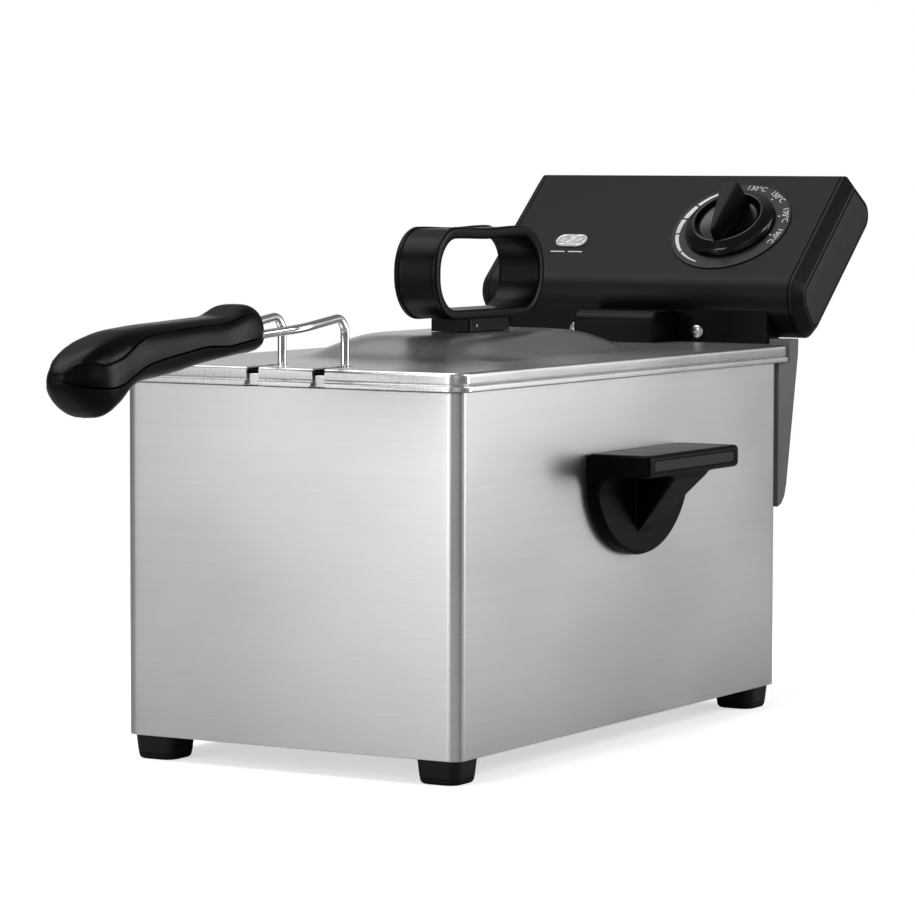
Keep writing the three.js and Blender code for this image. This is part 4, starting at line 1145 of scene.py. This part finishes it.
def head():
    # split the outline into the part in front of the joint line and the part behind it
    split = 18.0
    outer, inner = sec_pts(0), sec_pts(2.0)
    n = len(outer)

    def crossing(pts, i, tt):
        a, b = pts[i], pts[(i + 1) % len(pts)]
        k = (tt - a[1]) / (b[1] - a[1])
        return (a[0] + (b[0] - a[0]) * k, tt)

    def run(pts, front):
        keep = (lambda p: p[1] < split - 0.15) if front else (lambda p: p[1] > split + 0.15)
        tt = split - 0.15 if front else split + 0.15
        idx = [i for i in range(len(pts)) if keep(pts[i]) and not keep(pts[i - 1])][0]
        seq = []
        i = idx
        seq.append(crossing(pts, (i - 1) % len(pts), tt))
        while keep(pts[i % len(pts)]):
            seq.append(pts[i % len(pts)])
            i += 1
        seq.append(crossing(pts, (i - 1) % len(pts), tt))
        return seq

    for front, name, node in ((True, "head_front_moulding", "head_front_shell"), (False, "head_back_moulding", "head_back_shell")):
        o_, i_ = run(outer, front), run(inner, front)
        poly = o_ + list(reversed(i_))
        xs = [-HX_ + 2 * HX_ * i / 10 for i in range(11)]
        shape = loft([[(x, *at(s, t)) for s, t in poly] for x in xs])
        o = make(name, shape, SATIN, "head", [node], angle=28)
        hole = lambda x, s, r, t0, t1: rod(at3(x, s, t0), at3(x, s, t1), r, 32)
        if front:
            carve(o, hole(DX, DS, 5, -5, 10), hole(LX - 4.6, LS, 3.5, -5, 10), hole(LX + 4.6, LS, 3.5, -5, 10))
        else:
            carve(o, hole(-45, 58, 3.7, 25, 45), hole(45, 72, 7.3, 25, 45))
        resharp(o, 28)
    # end caps
    x0 = HX_ + 0.3
    rings = [head_ring(0.35, x0), head_ring(0.05, x0 + 0.3), head_ring(0, x0 + 0.8), head_ring(0.0, 89.9), head_ring(0.12, 90.5), head_ring(0.42, 91.0), head_ring(4.75, 94.95), head_ring(5.1, 95.2), head_ring(5.55, 95.42), head_ring(6.0, 95.45),
             head_ring(6.25, 95.35), head_ring(6.4, 95.1), head_ring(6.45, 94.4)]
    cap = loft(rings)
    ins = loft([head_ring(6.95, 94.5), head_ring(6.9, 95.0), head_ring(6.98, 95.35), head_ring(7.25, 95.62), head_ring(7.8, 95.72), head_ring(12, 95.78), head_ring(17.5, 95.8)])
    for f, s in ((lambda q: q, "right"), (mirror, "left")):
        make(f"end_cap_{s}_moulding", f(cap), SATIN, "head", [f"end_cap_{s}"], angle=24)
        make(f"end_inset_{s}_plate", f(ins), INSET, "head", [f"end_inset_{s}"], angle=24)
    # dial
    ex, ey, ez = Vector((1, 0, 0)), Vector((0, ST, CT)), Vector((0, -CT, ST))
    o3 = Vector(at3(DX, DS, 0))
    prof = [(5.0, 0.25), (5.0, 0.9), (32.3, 0.9), (32.8, 0.85), (33.1, 0.7), (33.2, 0.5), (33.2, 0.25), (5.0, 0.25)]
    v, f = lathe(prof, o3, ex, ey, ez, 96)
    make("dial_disc", (v, f), DISC, "head", ["dial_plate"])
    # printed scale: arcs, dots and temperatures
    shapes = []
    zt = 0.98

    def arc(a0, a1, r0a, r0b, r1a, r1b, n=16):
        q = []
        for i in range(n + 1):
            t = i / n
            a = math.radians(a0 + (a1 - a0) * t)
            ri, ro = r0a + (r0b - r0a) * t, r1a + (r1b - r1a) * t
            d = ex * math.sin(a) + ey * math.cos(a)
            q.append([tuple(o3 + d * ri + ez * 0.88), tuple(o3 + d * ro + ez * 0.88), tuple(o3 + d * ro + ez * zt), tuple(o3 + d * ri + ez * zt)])
        return loft(q)

    def width(a):
        k = (a + 165) / 125.0
        k = max(0, min(1, k))
        return 0.7 + 3.0 * k

    cuts = [-163, -135.5, -104, -80.5, -58.5, -12]
    for a0, a1 in zip(cuts, cuts[1:]):
        g = 1.3
        w0, w1 = width(a0 + g), width(a1 - g)
        shapes.append(arc(a0 + g, a1 - g, 30.4 - w0, 30.4 - w1, 30.4, 30.4, 18))
    for a in (6.7, 38, 73, 105):
        d = ex * math.sin(math.radians(a)) + ey * math.cos(math.radians(a))
        shapes.append(lathe([(0, 0.88), (0.55, 0.88), (0.55, zt), (0, zt)], o3 + d * 26.6, ex, ey, ez, 14))
    make("dial_scale_marks", merge(*shapes), PRINT, "head")
    for txt, a in (("130", 8.5), ("150", 39.5), ("170", 73), ("190", 105)):
        cu = bpy.data.curves.new("t" + txt, "FONT")
        cu.body = txt + "°C"
        cu.size = 0.0047
        cu.align_x, cu.align_y = "CENTER", "CENTER"
        cu.extrude = 0.00005
        cu.resolution_u = 6
        tmp = link("t" + txt, cu)
        bpy.context.view_layer.update()
        me = bpy.data.meshes.new_from_object(tmp.evaluated_get(bpy.context.evaluated_depsgraph_get()))
        bpy.data.objects.remove(tmp)
        ar = math.radians(a)
        d = ex * math.sin(ar) + ey * math.cos(ar)
        tx = ex * math.cos(ar) - ey * math.sin(ar)
        c = M(o3 + d * 29.8 + ez * 0.96)
        me.transform(Matrix(((tx.x, d.x, ez.x, c.x), (tx.y, d.y, ez.y, c.y), (tx.z, d.z, ez.z, c.z), (0, 0, 0, 1))))
        me.materials.clear()
        me.materials.append(PRINT)
        ob = link("dial_number_" + txt, me)
        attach(ob, "head")
    # knob
    prof = rounded_profile(
        [(0, 1.3), (24.6, 1.3), (24.8, 2.2), (23.9, 4.7), (18.9, 7.6), (17.7, 7.1), (16.6, 4.3), (0, 3.2)],
        [0, 0.4, 1.4, 2.2, 0.8, 0.8, 3.2, 0], 6)
    body = lathe(prof, o3, ex, ey, ez, 112)

    def wedge():
        # stations from the low end to the high end: b (up the panel), half width below and above, height
        rings = []
        stn = [(-19.4, 0.5, 0.25, 13.4), (-19.1, 0.9, 0.4, 14.3), (-18.3, 1.3, 0.65, 14.9), (-15.6, 2.1, 1.1, 15.4), (-9, 3.3, 1.9, 16.5), (0, 4.5, 2.9, 18.0), (7.4, 5.3, 3.8, 19.2), (11.6, 5.75, 4.3, 19.9), (13.5, 6.0, 4.6, 20.2), (14.3, 6.1, 4.6, 19.8)]
        for b, w0, w1, hh in stn:
            rings.append((b, w0, w1, hh))
        rings.append((15.3, 6.1, 4.3, 16.4))
        rings.append((16.8, 5.9, 3.9, 10.6))
        rings.append((17.6, 5.2, 3.2, 7.2))
        out = []
        for b, w0, w1, hh in rings:
            e = min(0.5, w1 * 0.5)
            ring = [(-w0, 2.6), (w0, 2.6), (w0 * 0.62 + w1 * 0.38, 2.6 + (hh - 2.6) * 0.35), (w0 * 0.3 + w1 * 0.7, 2.6 + (hh - 2.6) * 0.7), (w1, hh - e * 1.2), (w1 - e * 0.35, hh - e * 0.3), (w1 - e, hh), (0, hh + 0.05),
                    (-w1 + e, hh), (-w1 + e * 0.35, hh - e * 0.3), (-w1, hh - e * 1.2), (-(w0 * 0.3 + w1 * 0.7), 2.6 + (hh - 2.6) * 0.7), (-(w0 * 0.62 + w1 * 0.38), 2.6 + (hh - 2.6) * 0.35)]
            out.append([tuple(o3 + ex * a + ey * b + ez * c) for a, c in ring])
        return loft(out)

    make("knob_body", body, GLOSS, "dial", ["knob"], angle=50)
    make("knob_blade", wedge(), LOOPM, "dial", angle=38, sub=0)
    # indicator lamps
    pill = []
    for d, c in ((0.0, 0.3), (0.0, 0.75), (0.15, 0.95), (0.45, 1.05), (0.75, 0.95), (0.9, 0.7), (0.9, 0.3)):
        pts = fillet([(-9.2, -4.6), (9.2, -4.6), (9.2, 4.6), (-9.2, 4.6)], [4.55] * 4, [10] * 4, d)
        pill.append([tuple(Vector(at3(LX, LS, 0)) + ex * a + ey * b + ez * c) for a, b in pts])
    plate_ = []
    for d, c in ((0.8, 0.3), (0.8, 0.62)):
        pts = fillet([(-9.2, -4.6), (9.2, -4.6), (9.2, 4.6), (-9.2, 4.6)], [4.55] * 4, [10] * 4, d)
        plate_.append([tuple(Vector(at3(LX, LS, 0)) + ex * a + ey * b + ez * c) for a, b in pts])
    rimo = loft(pill, loop=True)
    base_o = make("indicator_rim", rimo, WHITE, "head", ["indicator_bezel"])
    pl = make("indicator_plate", loft(plate_), WHITE, "head")
    carve(pl, *[rod(at3(LX + q, LS, 2), at3(LX + q, LS, -3), 3.42, 32) for q in (-4.6, 4.6)])
    resharp(pl, 35)
    for q, nm in ((-4.6, "power"), (4.6, "ready")):
        c = Vector(at3(LX + q, LS, 0))
        prof = [(0, -5), (3.15, -5), (3.15, 0.9), (3.05, 1.25), (2.7, 1.5), (2.0, 1.68), (1.0, 1.78), (0, 1.8)]
        make(f"{nm}_lamp_lens", lathe(prof, c, ex, ey, ez, 32), LENS, "head", [f"{nm}_lens"])
        make(f"{nm}_lamp_ring", lathe(rounded_profile([(3.2, 0.35), (3.2, 1.25), (3.75, 1.25), (3.75, 0.35), (3.2, 0.35)], [0, 0.15, 0.15, 0, 0], 3), c, ex, ey, ez, 40), CHROME, "head")
    # two plain printed bars under the lamps mark the mains lamp
    bars = []
    for a0, a1 in ((-9.5, -1.0), (1.0, 9.5)):
        ringq = [[tuple(Vector(at3(LX, LS + 8.4, 0)) + ex * a + ey * b + ez * c) for a, b in ((a0, -0.35), (a1, -0.35), (a1, 0.35), (a0, 0.35))] for c in (0.0, 0.06)]
        bars.append(loft(ringq))
    make("lamp_legend_bars", merge(*bars), PRINT, "head")


head()
refine("rear_neck", "rear_neck_moulding", NECK, "head", 0.5, 3)


def bridge():
    # a block over the pan's rear rim with a rounded top front edge and rounded ends
    def outline(d):
        pts = [(313.5, 168.4), (339.7, 168.4), (339.7, 190.2), (313.5, 190.2)]
        return fillet(pts, [1.2, 0.6, 0.6, 6.5], [4, 3, 3, 12], d)

    shape = prism(outline, -23.5, 23.5, 1.6, 1.6, YZ, 5)
    o = make("neck_bridge_moulding", shape, NECK, "head", ["neck_bridge"], angle=30)
    legs = [rod((x, 317, 160), (x, 317, 180.6), r, 20) for x, r in ((-14, 3.35), (14, 3.35), (20.6, 1.4))]
    carve(o, *legs)
    resharp(o, 30)


bridge()
for x, s in ((-36, "left"), (36, "right")):
    screw(f"neck_screw_{s}_head", "head", f"neck_screw_{s}", (x, 339.7, 179), (0, -1, 0), 3.6, 1.8, (1.6, 2.9))


def element():
    pts = [(14, 317, 180), (14, 317, 44), (52, 300, 44), (52, 48, 44), (-52, 48, 44), (-52, 300, 44), (-14, 317, 44), (-14, 317, 180)]
    make("heating_element_tube", tube(bend_path(pts, 11, 10, 10), 3.0, 18), ELEM, "head", ["heating_element"])
    refine("element_guard", "element_guard_sheet", GUARD, "head", 0.25, 2)
    b = tube(bend_path([(-20, 304.5, 62), (20.0, 304.5, 62)], 1, 3, 6), 3.0, 18)
    c = tube(bend_path([(18.0, 304.5, 62), (20.6, 304.5, 64), (20.6, 306.5, 150), (20.6, 317, 164), (20.6, 317, 178)], 2, 6, 8), 1.0, 12)
    make("thermostat_bulb_tube", merge(b, c), CHROME, "head", ["thermostat_bulb"])
    clips = []
    for px in (-52, 52):
        for py in (110, 230):
            clips.append(tube([(px + 3.9 * math.cos(math.radians(a)), py, 44 + 3.9 * math.sin(math.radians(a))) for a in range(-60, 241, 20)], 0.6, 8))
    make("element_clips", merge(*clips), GUARD, "head")


element()
refine("safety_switch", "safety_switch_body", MICA, "head", 0.4, 2)
refine("thermal_cutout", "thermal_cutout_body", MICA, "head", 0.5, 3)
refine("lamp_board", "lamp_circuit_board", BOARD, "head", 0.15, 2)
refine("thermostat_body", "thermostat_case", GUARD, "head", 0.8, 3)


def back_parts():
    ex, ey, ez = Vector((1, 0, 0)), Vector((0, ST, CT)), Vector((0, CT, -ST))
    c = Vector(at3(45, 72, 0))
    prof = rounded_profile([(3.0, 30.5), (7.0, 33.2), (7.0, 36.9), (9.5, 36.9), (9.5, 38.8), (6.4, 39.4), (6.0, 46.0), (3.0, 46.0), (3.0, 30.5)], [0, 0.3, 0.1, 0.6, 0.8, 0.4, 0.9, 0.6, 0], 4)
    make("inlet_gland_bush", lathe(prof, c, ex, ey, ez, 40), RUBBER, "head", ["inlet_gland"])
    ribs = []
    for i in range(3):
        h = 40.9 + i * 1.7
        ribs.append(lathe(rounded_profile([(6.0, h - 0.45), (6.75, h - 0.3), (6.75, h + 0.3), (6.0, h + 0.45), (5.6, h), (6.0, h - 0.45)], [0, 0.2, 0.2, 0, 0, 0], 3), c, ex, ey, ez, 40))
    make("inlet_gland_ribs", merge(*ribs), RUBBER, "head")
    c = Vector(at3(-45, 58, 0))
    prof = rounded_profile([(0, 32.9), (4.6, 32.9), (4.6, 33.9), (3.2, 33.9), (3.2, 38.6), (0, 38.75)], [0, 0.3, 0.3, 0.2, 0.9, 0], 5)
    make("reset_button_cap", lathe(prof, c, ex, ey, ez, 36), SHELF, "reset", ["reset_button"])
    ring = lathe(rounded_profile([(3.75, 36.6), (5.6, 36.6), (5.2, 37.3), (4.1, 37.3), (3.75, 36.6)], [0, 0.2, 0.3, 0.2, 0], 4), c, ex, ey, ez, 40)
    make("reset_button_collar", ring, SATIN, "head")
    c = Vector((54, 347.8, 0))
    prof = rounded_profile([(0, 165.5), (2.0, 165.5), (2.0, 171.8), (0, 171.8)], [0, 0.6, 0.3, 0], 4)
    make("switch_plunger_pin", lathe(prof, c, Vector((1, 0, 0)), Vector((0, 1, 0)), Vector((0, 0, 1)), 28), WHITE, "plunger", ["switch_plunger"])
    c = Vector(at3(DX, DS, 0))
    ez2 = Vector((0, -CT, ST))
    prof = rounded_profile([(0, -3.2), (3.0, -3.2), (3.0, 5.0), (0, 5.0)], [0, 0.4, 0.4, 0], 4)
    make("thermostat_shaft_pin", lathe(prof, c, Vector((1, 0, 0)), Vector((0, ST, CT)), ez2, 32), SCREW, "dial", ["thermostat_shaft"])


back_parts()

# ------------------------------------------------------------------ floor and light
def floor():
    v, f, n = [], [], 96
    rows = [0.0, 0.6, 1.2, 2.5, 6.0, 30.0]
    v.append((0, 0, 0))
    for r in rows[1:]:
        for i in range(n):
            t = 2 * math.pi * i / n
            v.append((r * math.cos(t), r * math.sin(t), 0))
    for i in range(n):
        f.append((0, 1 + i, 1 + (i + 1) % n))
    for k in range(len(rows) - 2):
        a, b = 1 + k * n, 1 + (k + 1) * n
        for i in range(n):
            j = (i + 1) % n
            f.append((a + i, b + i, b + j, a + j))
    me = bpy.data.meshes.new("floor")
    me.from_pydata(v, [], f)
    o = link("floor", me)
    m = bpy.data.materials.new("floor_pale")
    m.use_nodes = True
    t = m.node_tree
    t.nodes.clear()
    out = t.nodes.new("ShaderNodeOutputMaterial")
    lp = t.nodes.new("ShaderNodeLightPath")
    d1 = t.nodes.new("ShaderNodeBsdfDiffuse")
    d1.inputs["Color"].default_value = (0.9, 0.9, 0.9, 1)
    em = t.nodes.new("ShaderNodeEmission")
    em.inputs["Strength"].default_value = 0.60
    add = t.nodes.new("ShaderNodeAddShader")
    d2 = t.nodes.new("ShaderNodeBsdfDiffuse")
    d2.inputs["Color"].default_value = (0.42, 0.42, 0.42, 1)
    mix = t.nodes.new("ShaderNodeMixShader")
    t.links.new(d1.outputs[0], add.inputs[0])
    t.links.new(em.outputs[0], add.inputs[1])
    # far from the object the floor goes over into plain white
    tc = t.nodes.new("ShaderNodeTexCoord")
    ln = t.nodes.new("ShaderNodeVectorMath")
    ln.operation = "LENGTH"
    t.links.new(tc.outputs["Object"], ln.inputs[0])
    mr = t.nodes.new("ShaderNodeMapRange")
    mr.interpolation_type = "SMOOTHSTEP"
    mr.inputs["From Min"].default_value, mr.inputs["From Max"].default_value = 0.32, 0.62
    t.links.new(ln.outputs["Value"], mr.inputs["Value"])
    em2 = t.nodes.new("ShaderNodeEmission")
    em2.inputs["Strength"].default_value = 1.0
    far = t.nodes.new("ShaderNodeMixShader")
    t.links.new(mr.outputs["Result"], far.inputs[0])
    t.links.new(add.outputs[0], far.inputs[1])
    t.links.new(em2.outputs[0], far.inputs[2])
    t.links.new(lp.outputs["Is Camera Ray"], mix.inputs[0])
    t.links.new(d2.outputs[0], mix.inputs[1])
    t.links.new(far.outputs[0], mix.inputs[2])
    t.links.new(mix.outputs[0], out.inputs["Surface"])
    me.materials.append(m)


floor()


def world():
    w = bpy.data.worlds.new("studio")
    bpy.context.scene.world = w
    w.use_nodes = True
    t = w.node_tree
    t.nodes.clear()
    tc = t.nodes.new("ShaderNodeTexCoord")

    def soft(direction, inner, outer, strength):
        """A soft patch of light round a direction; inner and outer are its radii in degrees."""
        d = Vector(direction).normalized()
        dot = t.nodes.new("ShaderNodeVectorMath")
        dot.operation = "DOT_PRODUCT"
        t.links.new(tc.outputs["Generated"], dot.inputs[0])
        dot.inputs[1].default_value = tuple(d)
        r = t.nodes.new("ShaderNodeMapRange")
        r.interpolation_type = "SMOOTHSTEP"
        r.inputs["From Min"].default_value = math.cos(math.radians(outer))
        r.inputs["From Max"].default_value = math.cos(math.radians(inner))
        r.inputs["To Min"].default_value = 0.0
        r.inputs["To Max"].default_value = strength
        t.links.new(dot.outputs["Value"], r.inputs["Value"])
        return r.outputs["Result"]

    parts = [
        soft((-0.36, -0.93, -0.02), 4, 30, 0.62),   # front left: seen in the front wall
        soft((0.52, 0.86, -0.02), 3, 26, 0.55),     # rear right: seen in the side wall
        soft((-0.50, 0.86, 0.02), 4, 20, 0.75),     # rear left: seen in the lid
        soft((-0.45, 0.25, 0.85), 8, 40, 0.50),     # above left: seen in the control panel
        soft((0.75, -0.5, 0.5), 5, 35, 0.30),
        soft((0.62, -0.78, 0.0), 6, 24, 0.9),      # beside the camera: seen in the near corner
    ]
    base = t.nodes.new("ShaderNodeValue")
    base.outputs[0].default_value = 0.20
    acc = base.outputs[0]
    for p in parts:
        a = t.nodes.new("ShaderNodeMath")
        a.operation = "ADD"
        t.links.new(acc, a.inputs[0])
        t.links.new(p, a.inputs[1])
        acc = a.outputs[0]
    bg1 = t.nodes.new("ShaderNodeBackground")
    t.links.new(acc, bg1.inputs["Strength"])
    bg2 = t.nodes.new("ShaderNodeBackground")
    bg2.inputs["Color"].default_value = (1, 1, 1, 1)
    bg2.inputs["Strength"].default_value = 1.0
    lp = t.nodes.new("ShaderNodeLightPath")
    mix = t.nodes.new("ShaderNodeMixShader")
    out = t.nodes.new("ShaderNodeOutputWorld")
    t.links.new(lp.outputs["Is Camera Ray"], mix.inputs[0])
    t.links.new(bg1.outputs[0], mix.inputs[1])
    t.links.new(bg2.outputs[0], mix.inputs[2])
    t.links.new(mix.outputs[0], out.inputs["Surface"])


world()


def area(name, loc, target, size, energy, size_y=None):
    d = bpy.data.lights.new(name, "AREA")
    d.energy = energy
    d.size = size
    if size_y:
        d.shape = "RECTANGLE"
        d.size_y = size_y
    o = bpy.data.objects.new(name, d)
    bpy.context.scene.collection.objects.link(o)
    o.location = loc
    o.rotation_euler = (Vector(target) - Vector(loc)).to_track_quat("-Z", "Y").to_euler()
    o.visible_camera = False
    return o


area("key_top", (-0.5, -0.3, 1.7), (0, 0, 0.1), 1.4, 16)
area("front_soft", (-0.35, -1.35, 0.45), (0.06, -0.12, 0.10), 0.5, 7, 0.9)
area("side_soft", (1.15, 0.95, 0.45), (0.09, -0.05, 0.10), 0.5, 7, 0.9)
area("rim_right", (1.3, 0.3, 0.9), (0.05, 0.2, 0.2), 0.5, 4)
